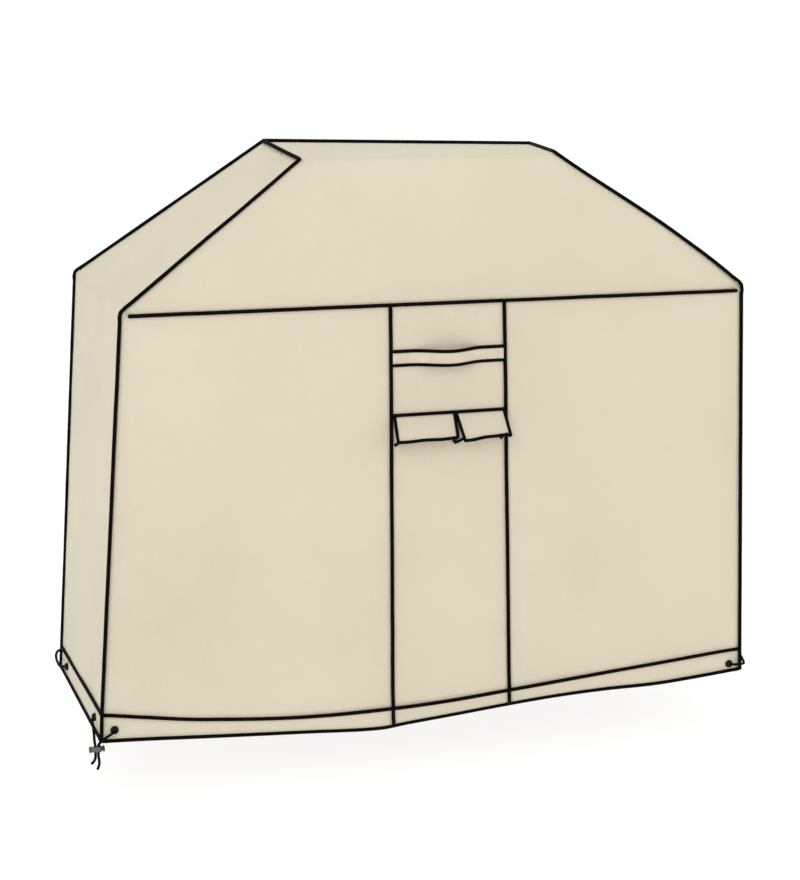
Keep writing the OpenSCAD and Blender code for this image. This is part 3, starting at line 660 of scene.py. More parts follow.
def roof_ring(row):
    t = row / ROOF_ROWS
    fr, br = mix(TOP_FRONT_HALF, HALF_W, t), mix(TOP_BACK_HALF, HALF_W, t)
    front_y, back_y, z = mix(TOP_FRONT_Y, -HALF_D, t), mix(TOP_BACK_Y, HALF_D, t), -ROOF_DROP * t
    front = [Vector((mix(-fr, fr, (u + 1) / 2), front_y, z)) for u in front_us(0)[:-1]]
    right = [Vector((fr, front_y, z)).lerp(Vector((br, back_y, z)), k / CELLS_END) for k in range(CELLS_END)]
    back = [Vector((mix(br, -br, k / CELLS_FRONT), back_y, z)) for k in range(CELLS_FRONT)]
    left = [Vector((-br, back_y, z)).lerp(Vector((-fr, front_y, z)), k / CELLS_END) for k in range(CELLS_END)]
    lift = Vector((0.6, 0, 0.8)) * HIP_BOW * math.sin(math.pi * t ** 1.5)
    late = max(0, t - RISE_START) / (1 - RISE_START)
    rise = Vector((0, 0, CORNER_RISE)) * late * late * (3 - 2 * late)
    for k, p in enumerate(right):
        p += (lift + rise) * (1 - k / CELLS_END) ** 2
    for k in range(1, HIP_COLUMNS):
        front[-k] += lift * (1 - k / HIP_COLUMNS) ** 2
    for p in front[1:]:
        p.z -= SHOULDER_SAG * t * t
    return front + right + back + left


def wall_ring(wall):
    v = wall / WALL_ROWS if wall <= WALL_ROWS else 1 + (wall - WALL_ROWS) / BAND_ROWS
    front = [front_point(u, v) for u in front_us(v)[:-1]]
    for p in front[1:]:
        p.z -= SHOULDER_SAG * max(0, 1 - wall / SAG_ROWS)
    right = [end_point(1, k / CELLS_END, v) for k in range(CELLS_END)]
    back = [back_point(1 - 2 * k / CELLS_FRONT, v) for k in range(CELLS_FRONT)]
    left = [end_point(-1, 1 - k / CELLS_END, v) for k in range(CELLS_END)]
    return front + right + back + left


def ring_points(row):
    """The points of one level of the cover, anticlockwise from the front left corner seen from above."""
    ring = roof_ring(row) if row <= ROOF_ROWS else wall_ring(row - ROOF_ROWS)
    return [settled(p) for p in ring]


def at(row, k):
    return row * AROUND + k % AROUND


def level(row, first=0, last=AROUND):
    return [at(row, k) for k in range(first, last + 1)]


def column(k, first, last):
    return [at(row, k) for row in range(first, last + 1)]


def top_index(i, j):
    """Index of a point on the flat top: i along the front, j towards the back."""
    if j == 0:
        return at(0, i)
    if j == CELLS_END:
        return at(0, 2 * CELLS_FRONT + CELLS_END - i)
    if i == 0:
        return at(0, AROUND - j)
    if i == CELLS_FRONT:
        return at(0, CELLS_FRONT + j)
    return (ROWS + 1) * AROUND + (j - 1) * (CELLS_FRONT - 1) + i - 1


def panel_of_column(k):
    """Which wall panel the cell after column k belongs to."""
    ends = {"front_left": LEFT_SEAM, "front_centre": RIGHT_SEAM, "front_right": CORNERS[1],
            "right_end": CORNERS[2], "back": CORNERS[3], "left_end": AROUND}
    return next(name + "_panel" for name, end in ends.items() if k < end)


def build_cover():
    """The cover's points, and its faces by panel."""
    points = [p for row in range(ROWS + 1) for p in ring_points(row)]
    for j in range(1, CELLS_END):
        for i in range(1, CELLS_FRONT):
            a, b = points[top_index(i, 0)], points[top_index(i, CELLS_END)]
            points.append(a.lerp(b, j / CELLS_END))
    faces = {}
    for row in range(ROWS):
        for k in range(AROUND):
            name = panel_of_column(k)
            if row < ROOF_ROWS and name.startswith("front"):
                name = "roof_panel"
            cell = (at(row, k), at(row + 1, k), at(row + 1, k + 1), at(row, k + 1))
            faces.setdefault(name, []).append(cell)
    for j in range(CELLS_END):
        for i in range(CELLS_FRONT):
            cell = (top_index(i, j), top_index(i + 1, j), top_index(i + 1, j + 1), top_index(i, j + 1))
            faces["roof_panel"].append(cell)
    return points, faces


def flat_uv(name, p):
    """A place on the cloth in metres, near enough to the flat cut for the weave to run straight."""
    if name == "roof_panel":
        return (p.x, p.y * 1.2 if p.z > -0.002 else -p.z * 1.05 + p.y)
    if name.endswith("end_panel"):
        return (p.y, p.z - abs(p.x) * 0.8 * (p.z > SHOULDER_Z))
    return (p.x, p.z - p.y * 0.7 * (p.z > SHOULDER_Z))


def held_points(points):
    """The points that stay where the cover is held: the top, seams, hem band, handle ends and vent."""
    held = set(range((ROWS + 1) * AROUND, len(points)))
    for row in (0, ROOF_ROWS, *range(SEAM_ROW, ROWS + 1)):
        held.update(level(row))
    for k in CORNERS:
        held.update(column(k, 0, ROWS))
    for k in range(LEFT_SEAM, RIGHT_SEAM + 1):
        for i in column(k, ROOF_ROWS, ROWS):
            by_vent = VENT_HOLD[0] < points[i].z - VENT_Z < VENT_HOLD[1]
            if k in (LEFT_SEAM, RIGHT_SEAM) or by_vent or abs(points[i].z - HANDLE_Z) < HANDLE_HOLD:
                held.add(i)
    return held


SIM_FRAMES = 30
FIRST_RIPPLE, MAX_DRIFT = 0.0025, 0.007


def simulate_cover(points, faces):
    """Lets the cloth settle: slightly oversize between its seams, and pulled down by its weight."""
    held = held_points(points)
    start = [p.copy() for p in points]
    for i, p in enumerate(start):
        if i not in held:
            n = noise.noise(p * 6.0) + 0.5 * noise.noise(p * 15.0)
            outward = Vector((p.x * 0.3, p.y, 0)).normalized() if p.z < SHOULDER_Z else Vector((0, 0, 1))
            start[i] = p + outward * FIRST_RIPPLE * n
    obj = make_object("cloth", start, [f for group in faces.values() for f in group], "canvas")
    group = obj.vertex_groups.new(name="held")
    group.add(sorted(held), 1.0, "REPLACE")
    cloth = obj.modifiers.new("Cloth", "CLOTH")
    assign(cloth.settings, quality=5, mass=0.04, tension_stiffness=60, compression_stiffness=60,
           shear_stiffness=20, bending_stiffness=3.0, air_damping=2.0, vertex_group_mass="held",
           shrink_min=-0.0022)
    cloth.settings.effector_weights.gravity = 0.25
    assign(cloth.collision_settings, use_collision=False, use_self_collision=False)
    assign(cloth.point_cache, frame_start=1, frame_end=SIM_FRAMES)
    for f in range(1, SIM_FRAMES + 1):
        bpy.context.scene.frame_set(f)
    graph = bpy.context.evaluated_depsgraph_get()
    moved = [v.co.copy() for v in obj.evaluated_get(graph).to_mesh().vertices]
    bpy.context.scene.frame_set(1)
    bpy.data.objects.remove(obj)
    for i, p in enumerate(moved):
        drift = p - points[i]
        if drift.length > 1e-6:
            moved[i] = points[i] + drift * (MAX_DRIFT * math.tanh(drift.length / MAX_DRIFT) / drift.length)
    return moved


def point_normals(points, faces):
    """The outward direction at each point of the cloth."""
    normals = [Vector() for _ in points]
    for group in faces.values():
        for f in group:
            across = (points[f[2]] - points[f[0]]).cross(points[f[3]] - points[f[1]])
            for i in f:
                normals[i] += across.normalized()
    return [n.normalized() for n in normals]


design_points, panel_faces = build_cover()
cover_points = simulate_cover(design_points, panel_faces)
cover_normals = point_normals(cover_points, panel_faces)
VENT_LEFT, VENT_RIGHT = -0.110478, 0.136917
WINDOW = (VENT_LEFT + 0.007, VENT_RIGHT - 0.007, VENT_Z - 0.010, VENT_Z - 0.046)
WINDOW_MARGIN = 0.03  # of the cloth round the window that its cutting lines reach


def panel_piece(name):
    """One panel cut out of the settled cloth, with its weave places and its closeness to a seam."""
    faces = panel_faces[name]
    used = sorted({i for f in faces for i in f})
    index = {old: new for new, old in enumerate(used)}
    new_faces = [tuple(index[i] for i in f) for f in faces]
    uvs = [flat_uv(name, design_points[i]) for i in used]
    obj = make_object(name + "_cloth", [cover_points[i] for i in used], new_faces, "canvas", uvs)
    sides = {(a, b) for f in new_faces for a, b in zip(f, f[1:] + f[:1])}
    neighbours = {}
    for a, b in sides:
        neighbours.setdefault(a, set()).add(b)
        neighbours.setdefault(b, set()).add(a)
    closeness = {i: 1.0 for edge in sides if edge[::-1] not in sides for i in edge}
    closeness.update({index[i]: 1.0 for i in used if at(SEAM_ROW, 0) <= i < at(SEAM_ROW + 1, 0)})
    for value in (0.45, 0.12):
        for i in {j for k in closeness for j in neighbours[k]} - set(closeness):
            closeness[i] = value
    near = obj.data.attributes.new("seam_near", "FLOAT", "POINT")
    near.data.foreach_set("value", [closeness.get(i, 0.0) for i in range(len(used))])
    if name == "front_centre_panel":
        edit_mesh(obj, cut_window)
    modify(obj, "SUBSURF", levels=1, boundary_smooth="PRESERVE_CORNERS")
    return obj


def cut_window(edit):
    """Cuts the vent window with straight edges."""
    left, right, top, bottom = WINDOW
    across, upright = (1, 0, 0), (0, 0, 1)
    for point, normal in (((left, 0, 0), across), ((right, 0, 0), across), ((0, 0, top), upright),
                          ((0, 0, bottom), upright)):
        region = [f for f in edit.faces
                  if bottom - WINDOW_MARGIN < f.calc_center_median().z < top + WINDOW_MARGIN]
        geometry = region + list({e for f in region for e in f.edges})
        geometry += list({v for f in region for v in f.verts})
        bmesh.ops.bisect_plane(edit, geom=geometry, plane_co=point, plane_no=normal, dist=1e-5)
    inside = [f for f in edit.faces if left < f.calc_center_median().x < right
              and bottom < f.calc_center_median().z < top]
    bmesh.ops.delete(edit, geom=inside, context="FACES")


PANELS = {name: panel_piece(name) for name in panel_faces}
for name, obj in PANELS.items():
    modify(obj, "SOLIDIFY", thickness=CLOTH_T, offset=1.0)
    place_piece(obj, nodes=[name])


def surface_of(objects):
    """Nearest-point lookup on the objects' meshes."""
    points, faces = [], []
    for obj in objects:
        faces += [[len(points) + i for i in p.vertices] for p in obj.data.polygons]
        points += [v.co.copy() for v in obj.data.vertices]
    return BVHTree.FromPolygons(points, faces)


SURFACE = surface_of(PANELS.values())

# ---- Piping, tape and binding ----
PIPING_R, TOP_BACK_R = 0.0041, 0.0046
PIPING_LIFT, ARCH_LIFT, BINDING_LIFT = 0.0028, 0.0042, 0.0024


def arch(front_column, back_column):
    """Up a front corner, over the hip and along the top's edge, and down the back corner."""
    step = 1 if front_column else -1
    across = [at(0, front_column + step * i) for i in range(1, CELLS_END)]
    return column(front_column, 0, ROWS)[::-1] + across + column(back_column, 0, ROWS)


def add_piping(name, indices, radius=PIPING_R, lift=PIPING_LIFT, closed=False, ends=(1, 1)):
    """ends are the shares of the first and last cells that the piping covers."""
    points = [cover_points[i] + cover_normals[i] * lift for i in indices]
    for first, second, third, part in ((0, 1, 2, ends[0]), (-1, -2, -3, ends[1])):
        if part < 1:
            points[first] = points[second].lerp(points[third], -part)
    path = spline(points, 0.012, closed)
    tubes(name + "_tube", [path], radius, "trim", nodes=[name], sides=12, closed=closed)


add_piping("left_arch_piping", arch(0, CORNERS[3]), lift=ARCH_LIFT)
add_piping("right_arch_piping", arch(CORNERS[1], CORNERS[2]), lift=ARCH_LIFT)
add_piping("top_back_piping", level(0, CORNERS[2], CORNERS[3]), TOP_BACK_R, ARCH_LIFT)
add_piping("front_shoulder_piping", level(ROOF_ROWS, 0, CORNERS[1]), ends=(0.05, 0.5))
add_piping("centre_left_piping", column(LEFT_SEAM, ROOF_ROWS, ROWS))
add_piping("centre_right_piping", column(RIGHT_SEAM, ROOF_ROWS, ROWS))
add_piping("hem_tape", level(SEAM_ROW)[:-1], closed=True)
add_piping("hem_binding", level(ROWS)[:-1], lift=BINDING_LIFT, closed=True)

# ---- Stitching ----
STITCH_PITCH, STITCH_LENGTH, STITCH_R = 0.0050, 0.0034, 0.00045
STITCH_OFFSET = 0.0085  # from the seam


def add_stitches(name, paths, body="cover", surface=None):
    """Rows of raised stitches, each a small pointed spindle lying on the cloth."""
    points, faces = [], []
    for path in paths:
        for place, ahead in walk(path, STITCH_PITCH):
            normal = Vector((0, -1, 0))
            if surface is not None:
                place, normal = surface.find_nearest(place)[:2]
            side = ahead.cross(normal).normalized()
            centre = place + normal * STITCH_R * 0.6
            first = len(points)
            points += [centre - ahead * STITCH_LENGTH / 2, centre + ahead * STITCH_LENGTH / 2]
            points += [centre + way * STITCH_R for way in (side, normal, -side, -normal)]
            for k in range(4):
                a, b = first + 2 + k, first + 2 + (k + 1) % 4
                faces += [(first, b, a), (first + 1, a, b)]
    obj = make_object(name, points, faces, "thread", [(p.x, p.z) for p in points])
    return place_piece(obj, body)


def walk(path, pitch):
    """Even places along a path, with the direction at each."""
    out, left = [], pitch / 2
    for a, b in zip(path, path[1:]):
        span = (b - a).length
        if span < 1e-9:
            continue
        ahead = (b - a) / span
        while left <= span:
            out.append((a + ahead * left, ahead))
            left += pitch
        left -= span
    return out


def beside(indices, neighbours):
    """A path beside a seam, towards the neighbouring points and just off the cloth."""
    path = []
    for i, j in zip(indices, neighbours):
        a, b = cover_points[i], cover_points[j]
        part = min(1.0, STITCH_OFFSET / max((b - a).length, 1e-6))
        path.append(a.lerp(b, part) + cover_normals[i].lerp(cover_normals[j], part) * 0.004)
    return path


def stitch_paths():
    """Beside each seam on both sides, then beside the top's edge and the hem."""
    pairs = []
    for k, first in ((LEFT_SEAM, ROOF_ROWS), (RIGHT_SEAM, ROOF_ROWS), *((k, 0) for k in CORNERS)):
        pairs += [(column(k, first, ROWS), column(k + side, first, ROWS)) for side in (-1, 1)]
    for row, last in ((ROOF_ROWS, CORNERS[1]), (SEAM_ROW, AROUND)):
        pairs += [(level(row, 0, last), level(row + side, 0, last)) for side in (-1, 1)]
    top = (CORNERS[1], CORNERS[3] + CELLS_END)
    pairs += [(level(0, *top), level(1, *top)), (level(ROWS), level(ROWS - 1))]
    return [beside(*pair) for pair in pairs]


add_stitches("seam_stitches", stitch_paths(), surface=SURFACE)

# ---- Hem facings: the inner cloth of the drawcord's channel ----
# Each row's place down the band, and how far it stands off the band's cloth.
FACING_ROWS = [(1.09, 0.0034), (1.25, 0.0095), (1.5, 0.0125), (1.75, 0.0095), (1.87, 0.0034)]
FACING_END, FACING_T = 0.016, 0.0008


def add_facing(name, place, inward, start, end, columns):
    """place(share, v) gives the band's cloth; the facing stands off it inwards."""
    points, uvs = [], []
    for i, (v, depth) in enumerate(FACING_ROWS):
        for k in range(columns + 1):
            points.append(settled(place(mix(start, end, k / columns), v) + Vector(inward) * depth))
            uvs.append((k * 0.02, i * 0.012))
    obj = make_object(name + "_cloth", points, grid(len(FACING_ROWS) - 1, columns), "facing_cloth", uvs)
    modify(obj, "SUBSURF", levels=1)
    modify(obj, "SOLIDIFY", thickness=FACING_T, offset=0.0)
    place_piece(obj, nodes=[name])


face_end = 1 - FACING_END / (HALF_W + FLARE)
side_end = FACING_END / (2 * HALF_D)
add_facing("hem_facing_front", front_point, (0, 1, 0), -face_end, face_end, 48)
add_facing("hem_facing_back", back_point, (0, -1, 0), face_end, -face_end, 48)
add_facing("hem_facing_left", lambda w, v: end_point(-1, w, v), (1, 0, 0), 1 - side_end, side_end, 18)
add_facing("hem_facing_right", lambda w, v: end_point(1, w, v), (-1, 0, 0), side_end, 1 - side_end, 18)

# ---- Eyelets: domed grommets, each with a washer inside the cloth ----
FLANGE_IN, DOME_H, CORD_HOLE = 0.0014, 0.0090, 0.0034
EYELET_PROFILE = [
    (EYELET_HOLE / 2, -0.0016), (EYELET_HOLE / 2, FLANGE_IN), (CORD_HOLE, DOME_H - 0.002),
    (CORD_HOLE, DOME_H - 0.0003), (CORD_HOLE + 0.0004, DOME_H), (0.0054, DOME_H - 0.0004),
    (0.0070, DOME_H - 0.0014), (0.0082, DOME_H - 0.0032), (0.0089, DOME_H - 0.0056),
    (EYELET_D / 2, FLANGE_IN), (EYELET_HOLE / 2 + 0.0006, FLANGE_IN), (EYELET_HOLE / 2 + 0.0006, -0.0016)]
WASHER_PROFILE = [
    (EYELET_HOLE / 2 + 0.0009, -0.0003), (EYELET_D / 2 - 0.0008, -0.0003), (EYELET_D / 2 - 0.0005, -0.0006),
    (EYELET_D / 2 - 0.0005, -0.0009), (EYELET_HOLE / 2 + 0.0009, -0.0013)]


def add_lathed(name, profile, frames, slot, body="cover", nodes=(), sides=40):
    """Rings turned from a closed profile of (radius, height), one at each frame."""
    points, faces = [], []
    count = len(profile)
    for turn in frames:
        first = len(points)
        for k in range(sides):
            angle = 2 * math.pi * k / sides
            cos, sin = math.cos(angle), math.sin(angle)
            points += [turn @ Vector((radius * cos, radius * sin, height)) for radius, height in profile]
            for i in range(count):
                j, a, b = (i + 1) % count, first + k * count, first + (k + 1) % sides * count
                faces.append((a + i, b + i, b + j, a + j))
    obj = make_object(name, points, faces, slot)
    turn_outwards(obj)
    sharpen(obj, 35)
    return place_piece(obj, body, nodes)


def strip_middle(place, side):
    """The middle of the flat strip of canvas that an eyelet of the front or back sits in."""
    near = 1 - SEAM_INSET / HALF_W
    return (place(side * (2 * EYELET_U - near), BAND_MID_V) + place(side * near, BAND_MID_V)) / 2


def eyelet_frames():
    """Each eyelet's place, with its outward direction as local Z."""
    spots = []
    for side in (-1, 1):
        spots += [(strip_middle(front_point, side), (0, -1, 0)), (strip_middle(back_point, side), (0, 1, 0))]
        outward = (side * math.cos(END_TILT), 0, math.sin(END_TILT))
        for w in (EYELET_SIDE / (2 * HALF_D), 1 - EYELET_SIDE / (2 * HALF_D)):
            spots.append((end_point(side, w, BAND_MID_V), outward))
    return [Matrix.Translation(settled_cord(p)) @ Vector(n).to_track_quat("Z", "Y").to_matrix().to_4x4()
            for p, n in spots]


add_lathed("eyelet_rings", EYELET_PROFILE, eyelet_frames(), "eyelet_metal", nodes=["eyelets"])
add_lathed("eyelet_backs", WASHER_PROFILE, eyelet_frames(), "eyelet_metal", nodes=["eyelet_washers"])

# ---- Handle: a webbing strap with bound edges, in two halves ----
STRAP_LEFT, STRAP_RIGHT = -0.112395, 0.129502
STRAP_FREE = STRAP_RIGHT - STRAP_LEFT - 2 * STRAP_TAB
STRAP_FACE = -HALF_D - CLOTH_T - GAP
EDGE_R = 0.0039
HALF_STEPS, TAB_STEPS = 34, 10
# The webbing's section, in shares of half its width and half its thickness.
STRAP_SECTION = [(-1, -0.4), (-0.97, -0.9), (-0.5, -1.08), (0, -1), (0.5, -1.08), (0.97, -0.9), (1, -0.4),
                 (1, 0.4), (0.97, 0.9), (0.5, 1), (0, 1), (-0.5, 1), (-0.97, 0.9), (-1, 0.4)]


def strap_place(t):
    """The middle of the strap's thickness; t runs from 0 at one tab to 1 at the other."""
    bow = STRAP_BOW * math.sin(math.pi * share(t)) ** 2
    return Vector((STRAP_LEFT + STRAP_TAB + STRAP_FREE * t, STRAP_FACE - STRAP_T / 2 - bow, HANDLE_Z))


def add_handle_half(side, t_end, end_x, nodes):
    """From the tab's sewn end to the middle of the handle."""
    centres = [strap_place(mix(t_end, 0.5, i / HALF_STEPS)) for i in range(HALF_STEPS + 1)]
    x, y, _ = centres[0]
    path = [Vector((mix(end_x, x, i / TAB_STEPS), y, HANDLE_Z)) for i in range(TAB_STEPS)] + centres
    half, count = STRAP_W / 2, len(STRAP_SECTION)
    points, faces, uvs = [], [], []
    travelled = 0.0
    for i, (p, head) in enumerate(zip(path, frames_along(path)[0])):
        out = Vector((head.y, -head.x, 0)) * (1 if head.x > 0 else -1)
        travelled += (p - path[i - 1]).length if i else 0
        for height, depth in STRAP_SECTION:
            points.append(p + Vector((0, 0, half * height)) - out * depth * STRAP_T / 2)
            uvs.append((travelled, half * height))
    for a in range(0, len(points) - count, count):
        for k in range(count):
            b = a + (k + 1) % count
            faces.append((a + k, b, b + count, a + k + count))
    faces += [tuple(range(count)), tuple(len(points) - 1 - k for k in range(count))]
    strap = make_object("handle_" + side, points, faces, "webbing", uvs)
    turn_outwards(strap)
    sharpen(strap, 60)
    place_piece(strap, None, nodes)
    borders = [[p + Vector((0, 0, z)) for p in path] for z in (-half, half)]
    edges = tubes("handle_binding_" + side, borders, EDGE_R, "trim", None)
    for obj in (strap, edges):
        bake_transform(obj)


def box_stitch(left, right):
    """A crossed box of stitches on a tab."""
    low, high, y = HANDLE_Z - 0.0105, HANDLE_Z + 0.0105, STRAP_FACE - STRAP_T - 0.0002
    a, b, c, d = (Vector((x, y, z)) for x, z in ((left, low), (right, low), (right, high), (left, high)))
    return [[a, b, c, d, a], [a, c], [b, d]]


add_handle_half("left", 0.0, STRAP_LEFT - 0.006, ["handle_tab_left", "handle_strap"])
add_handle_half("right", 1.0, STRAP_RIGHT + 0.009, ["handle_tab_right"])
add_stitches("handle_stitches", box_stitch(STRAP_LEFT + 0.004, STRAP_LEFT + STRAP_TAB - 0.006)
             + box_stitch(STRAP_RIGHT - STRAP_TAB + 0.006, STRAP_RIGHT - 0.004))

# ---- Vent: window, mesh, two leaves and their side folds ----
HINGE_Y = -HALF_D - CLOTH_T - 0.0022
FLAP_T, HEM_TUBE_R, ROD_R, HINGE_TAPE_R = 0.0016, 0.0038, 0.0015, 0.0040
LEAF_EDGE_R, EDGE_LIFT, FOLD_EDGE_R = 0.0035, 0.0014, 0.0032
PLATE = FLAP_LEN - 0.0027
FLAP_DOWN = Vector((0, -math.sin(FLAP_ANGLE), -math.cos(FLAP_ANGLE)))
FLAP_OUT = Vector((0, -math.cos(FLAP_ANGLE), math.sin(FLAP_ANGLE)))
NET_PITCH, NET_R, NET_Y = 0.0035, 0.0005, -0.2593
NET_MARGIN, RIM_R = 0.004, 0.0013
TIP_DROOP_POWER = 12
GUSSET_D, GUSSET_CELLS, FLAT_KEEP = 0.0546, 12, 0.09


def add_window():
    """The window's bound edge, and the net behind it."""
    left, right, top, bottom = WINDOW
    corners = [(left, top), (right, top), (right, bottom), (left, bottom)]
    rim = []
    for (x, z), (nx, nz) in zip(corners, corners[1:] + corners[:1]):
        for t in (0.02, 0.25, 0.5, 0.75, 0.98):
            rim.append(Vector((mix(x, nx, t), -HALF_D - CLOTH_T, mix(z, nz, t))))
    tubes("window_rim", [rim], RIM_R, "trim", nodes=["vent_window_binding"], closed=True)
    left, right, top, bottom = left - NET_MARGIN, right + NET_MARGIN, top + NET_MARGIN, bottom - NET_MARGIN
    net = []
    for k in range(int((right - left) / NET_PITCH) + 1):
        net.append([Vector((left + k * NET_PITCH, NET_Y, z)) for z in (bottom, top)])
    for k in range(int((top - bottom) / NET_PITCH) + 1):
        net.append([Vector((x, NET_Y + NET_R, bottom + k * NET_PITCH)) for x in (left, right)])
    tubes("window_net", net, NET_R, "mesh", nodes=["vent_mesh"], sides=5, round_ends=False)


def leaf_point(leaf, s, d, lift=0.0):
    """A point of a leaf: s across it, d down it from the hinge."""
    x0, width, left, right, left_droop, right_droop, tip_droop = leaf
    droop = mix(left_droop, right_droop, s) + tip_droop * s ** TIP_DROOP_POWER
    d *= 1 + (droop + 0.0008 * math.sin(11 * s)) / PLATE
    x = x0 + mix(mix(0, left, d / PLATE), mix(width, right, d / PLATE), s)
    belly = 0.0016 * math.sin(math.pi * d / PLATE) * math.sin(math.pi * s)
    belly += 0.0007 * math.sin(9 * s + 2) * (d / PLATE) * math.sin(math.pi * s)
    return Vector((x, HINGE_Y, VENT_Z)) + FLAP_DOWN * d + FLAP_OUT * (belly + lift)


def add_leaf(side, leaf):
    """One leaf of the hood, with its bound edges, its stitches and the rod in its hem."""
    columns, rows, body = 30, 12, "flap_" + side
    points, uvs = [], []
    for i in range(rows + 1):
        d = 0.001 + (PLATE - 0.001) * i / rows
        for k in range(columns + 1):
            points.append(leaf_point(leaf, k / columns, d))
            uvs.append((points[-1].x, d))
    faces = [f[:1] + f[:0:-1] for f in grid(rows, columns)]
    obj = make_object("vent_leaf_" + side, points, faces, "canvas", uvs)
    modify(obj, "SOLIDIFY", thickness=FLAP_T, offset=0.0)
    place_piece(obj, body, ["vent_flap_" + side])
    hem = [leaf_point(leaf, s, PLATE) for s in np.linspace(0, 1, 25)]
    tubes("vent_hem_" + side, [hem], HEM_TUBE_R, "trim", body, sides=12)
    bars = [[leaf_point(leaf, s, d, EDGE_LIFT) for d in np.linspace(0.002, PLATE, 10)] for s in (0, 1)]
    tubes("vent_edge_" + side, bars, LEAF_EDGE_R, "trim", body)
    rows_of_stitches = [[leaf_point(leaf, s, d, FLAP_T / 2) for s in np.linspace(0.02, 0.98, 30)]
                        for d in (0.006, PLATE - 0.0065)]
    add_stitches("vent_stitches_" + side, rows_of_stitches, body, surface_of([obj]))
    tubes("vent_rod_" + side, [hem], ROD_R, "stiffener", body, ["vent_stiffener_" + side], sides=12)


def add_gusset(place, top_x, tip_x, foot_x, fold, droop):
    """A folded side cloth between a leaf and the panel, with a bound lower edge."""
    name, joint = "vent_gusset_" + place, "vent_" + place.split("_")[0] + "_close"
    top = Vector((top_x, HINGE_Y, VENT_Z - 0.004))
    tip = Vector((tip_x, HINGE_Y, VENT_Z)) + FLAP_DOWN * (GUSSET_D + droop)
    foot = Vector((foot_x, -HALF_D - CLOTH_T - 0.0016, VENT_Z - 0.060 - droop))
    count = GUSSET_CELLS
    points, uvs = [], []
    for i in range(count + 1):
        t = i / count
        for k in range(count + 1):
            s = k / count
            points.append(top.lerp(tip, t).lerp(top.lerp(foot, t), s))
            points[-1].x += fold * math.sin(math.pi * s) * t
            uvs.append((s * 0.04 * t, t * 0.06))
    cloth = make_object(name + "_fold", points, grid(count, count), "gusset_cloth", uvs)
    weld(cloth)
    modify(cloth, "SOLIDIFY", thickness=0.0008, offset=0.0)
    place_piece(cloth, nodes=[name])
    edge = tubes(name + "_edge", [points[-count - 1:]], FOLD_EDGE_R, "trim")
    for obj in (cloth, edge):
        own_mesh(obj)


add_window()
RIGHT_LEAF = FLAP_SPLIT_X + SPLIT_GAP
left_width = FLAP_SPLIT_X - SPLIT_GAP - VENT_LEFT
right_width = VENT_RIGHT - RIGHT_LEAF
# Each leaf's left end and width, its lower corners' places across it, how far each of them droops, and how
# much further its right tip does.
add_leaf("left", (VENT_LEFT, left_width, -0.004, left_width - 0.004, 0.0045, 0.0027, 0.0))
add_leaf("right", (RIGHT_LEAF, right_width + 0.004, 0.0055, right_width + 0.0065, 0.0105, 0.0005, 0.006))
add_gusset("left_outer", VENT_LEFT - 0.0003, VENT_LEFT - 0.0027, VENT_LEFT + 0.003, 0.003, 0.004)
add_gusset("left_inner", 0.0263, 0.0226, 0.0263, -0.002, 0.003)
add_gusset("right_inner", 0.0297, 0.0348, 0.0297, 0.002, 0.007)
add_gusset("right_outer", VENT_RIGHT + 0.0003, VENT_RIGHT - 0.0013, VENT_RIGHT + 0.0003, -0.003, 0.003)
hinge_line = [Vector((x, HINGE_Y - 0.0002, VENT_Z + 0.0015))
              for x in np.linspace(VENT_LEFT - 0.004, VENT_RIGHT + 0.006, 20)]
tubes("vent_hinge_tape", [hinge_line], HINGE_TAPE_R, "trim", sides=12)

# ---- Cord lock ----
BARREL_LEFT, BARREL_RIGHT, BARREL_R = -0.016, 0.009, 0.00625
LOCK_FRAME = Matrix.Translation(LOCK_AT) @ Matrix.Rotation(math.pi / 2, 4, "Y")


def from_cad(node, name, slot, body, rounding):
    """A copy of a CAD solid with rounded edges."""
    obj = bpy.data.objects.new(name, bpy.data.objects[node].data.copy())
    obj.data.name = name
    bpy.context.scene.collection.objects.link(obj)
    obj.data.materials.clear()
    obj.data.materials.append(MATERIALS[slot])
    weld(obj, 2e-6)
    modify(obj, "BEVEL", width=rounding, segments=3, limit_method="ANGLE", angle_limit=math.radians(40))
    sharpen(obj, 50)
    return place_piece(obj, body, [node])


def lock_circle(x, radius, angle):
    """A place round the barrel's axis, x along it from the lock's middle."""
    return LOCK_AT + Vector((x, radius * math.cos(angle), radius * math.sin(angle)))


def add_spring():
    """The coil behind the button."""
    start, end, turns, per_turn = -0.0143, -0.0087, 4, 20
    steps = [(i / (turns * per_turn), 2 * math.pi * i / per_turn) for i in range(turns * per_turn + 1)]
    coil = [lock_circle(mix(start, end, t), 0.0030, angle) for t, angle in steps]
    obj = tubes("lock_spring_coil", [coil], 0.0004, "spring_steel", "cord_lock", ["cord_lock_spring"], 6)
    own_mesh(obj)


def add_turned(name, x, profile):
    """A ring turned round the barrel's axis; its profile's radii are past the barrel's."""
    rings = [(BARREL_R + past, height) for past, height in profile]
    place = LOCK_FRAME @ Matrix.Translation((0, 0, x))
    add_lathed(name, rings, [place], "lock_button", "cord_lock", sides=48)


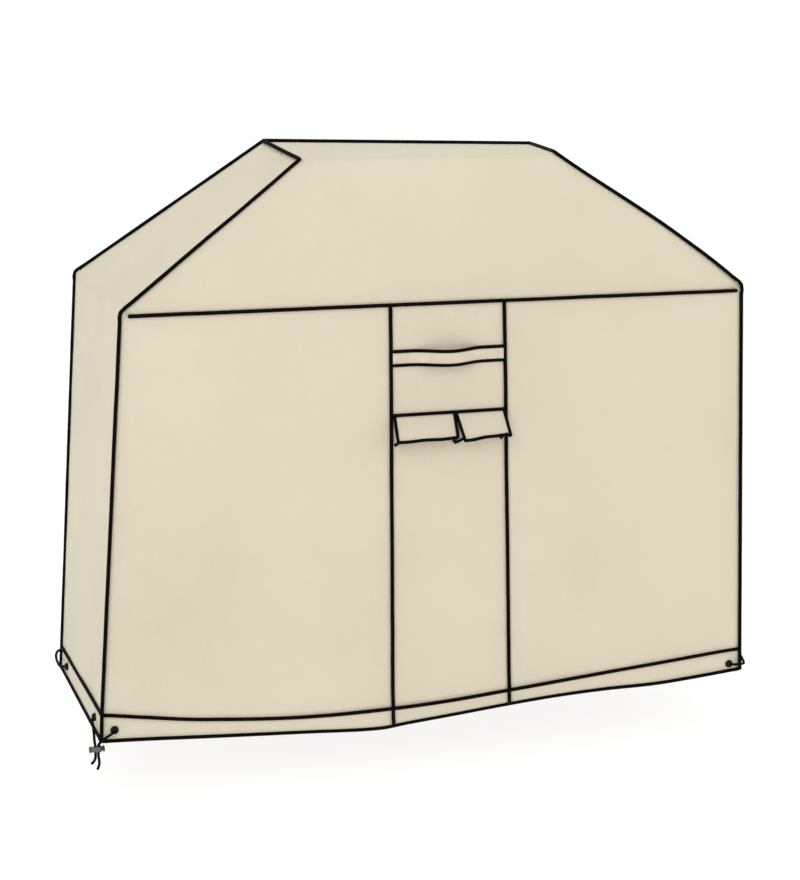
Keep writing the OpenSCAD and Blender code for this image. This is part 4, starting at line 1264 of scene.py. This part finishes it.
def add_lock():
    from_cad("cord_lock_housing", "lock_body", "lock_plastic", "cord_lock", 0.0004)
    from_cad("cord_lock_plunger", "lock_press", "lock_button", "lock_button", 0.0005)
    angles = np.linspace(0, 2 * math.pi, 41)[:-1]
    ribs = [[lock_circle(-0.0115 + 0.0022 * k, BARREL_R, a) for a in angles] for k in range(8)]
    tubes("lock_ribs", ribs, 0.00035, "lock_plastic", "cord_lock", sides=8, closed=True)
    add_turned("lock_end_cap", BARREL_LEFT, [
        (-BARREL_R, 0.0012), (-BARREL_R, -0.0003), (-0.0009, -0.0003), (0.0002, 0.0002), (0.0005, 0.0012),
        (0.0005, 0.0024), (0, 0.0028), (0, 0.0012)])
    add_turned("lock_flange", BARREL_RIGHT - 0.0020, [
        (0.0001, -0.0008), (0.0010, -0.0006), (0.0012, 0), (0.0012, 0.0014), (0.0008, 0.0020),
        (-0.0008, 0.0022), (-0.0008, 0)])
    add_spring()


add_lock()

# ---- Stage and lights ----
FLOOR_Z, FLOOR_SIZE = -1.355, 80
SKY_SHARE = 0.78  # the share of the white sky that lights the cover


def make_stage():
    s = FLOOR_SIZE
    corners = [(-s, -s, FLOOR_Z), (s, -s, FLOOR_Z), (s, s, FLOOR_Z), (-s, s, FLOOR_Z)]
    glow = {"Base Color": (0.26, 0.26, 0.26, 1), "Emission Color": (1, 1, 1, 1), "Emission Strength": 0.84}
    new_material("floor", 0.95, gloss=0.0, **glow)
    make_object("floor", corners, [(0, 1, 2, 3)], "floor", smooth=False)


def area_light(name, place, size, power):
    """A square light that looks at the cover's middle."""
    data = bpy.data.lights.new(name, "AREA")
    assign(data, shape="SQUARE", size=size, energy=power)
    lamp = bpy.data.objects.new(name, data)
    bpy.context.scene.collection.objects.link(lamp)
    lamp.location = place
    lamp.rotation_euler = (Vector((0, 0, -0.6)) - Vector(place)).to_track_quat("-Z", "Y").to_euler()


def make_light():
    world = bpy.data.worlds.new("studio")
    bpy.context.scene.world = world
    world.use_nodes = True
    tree = world.node_tree
    seen = add_node(tree, "ShaderNodeLightPath").outputs["Is Camera Ray"]
    background = tree.nodes["Background"].inputs
    feed(background["Color"], (1, 1, 1, 1))
    feed(background["Strength"], plus(times(seen, 1 - SKY_SHARE), SKY_SHARE))
    area_light("key", (-3.2, -4.0, 1.8), 2.4, 58)
    area_light("fill", (3.8, -2.6, 0.8), 3.0, 22)
    area_light("back", (0.5, 4.4, 1.2), 3.0, 38)
    area_light("top", (-1.0, 0.5, 3.0), 3.0, 15)
    bpy.context.scene.view_settings.view_transform = "Standard"


make_stage()
make_light()
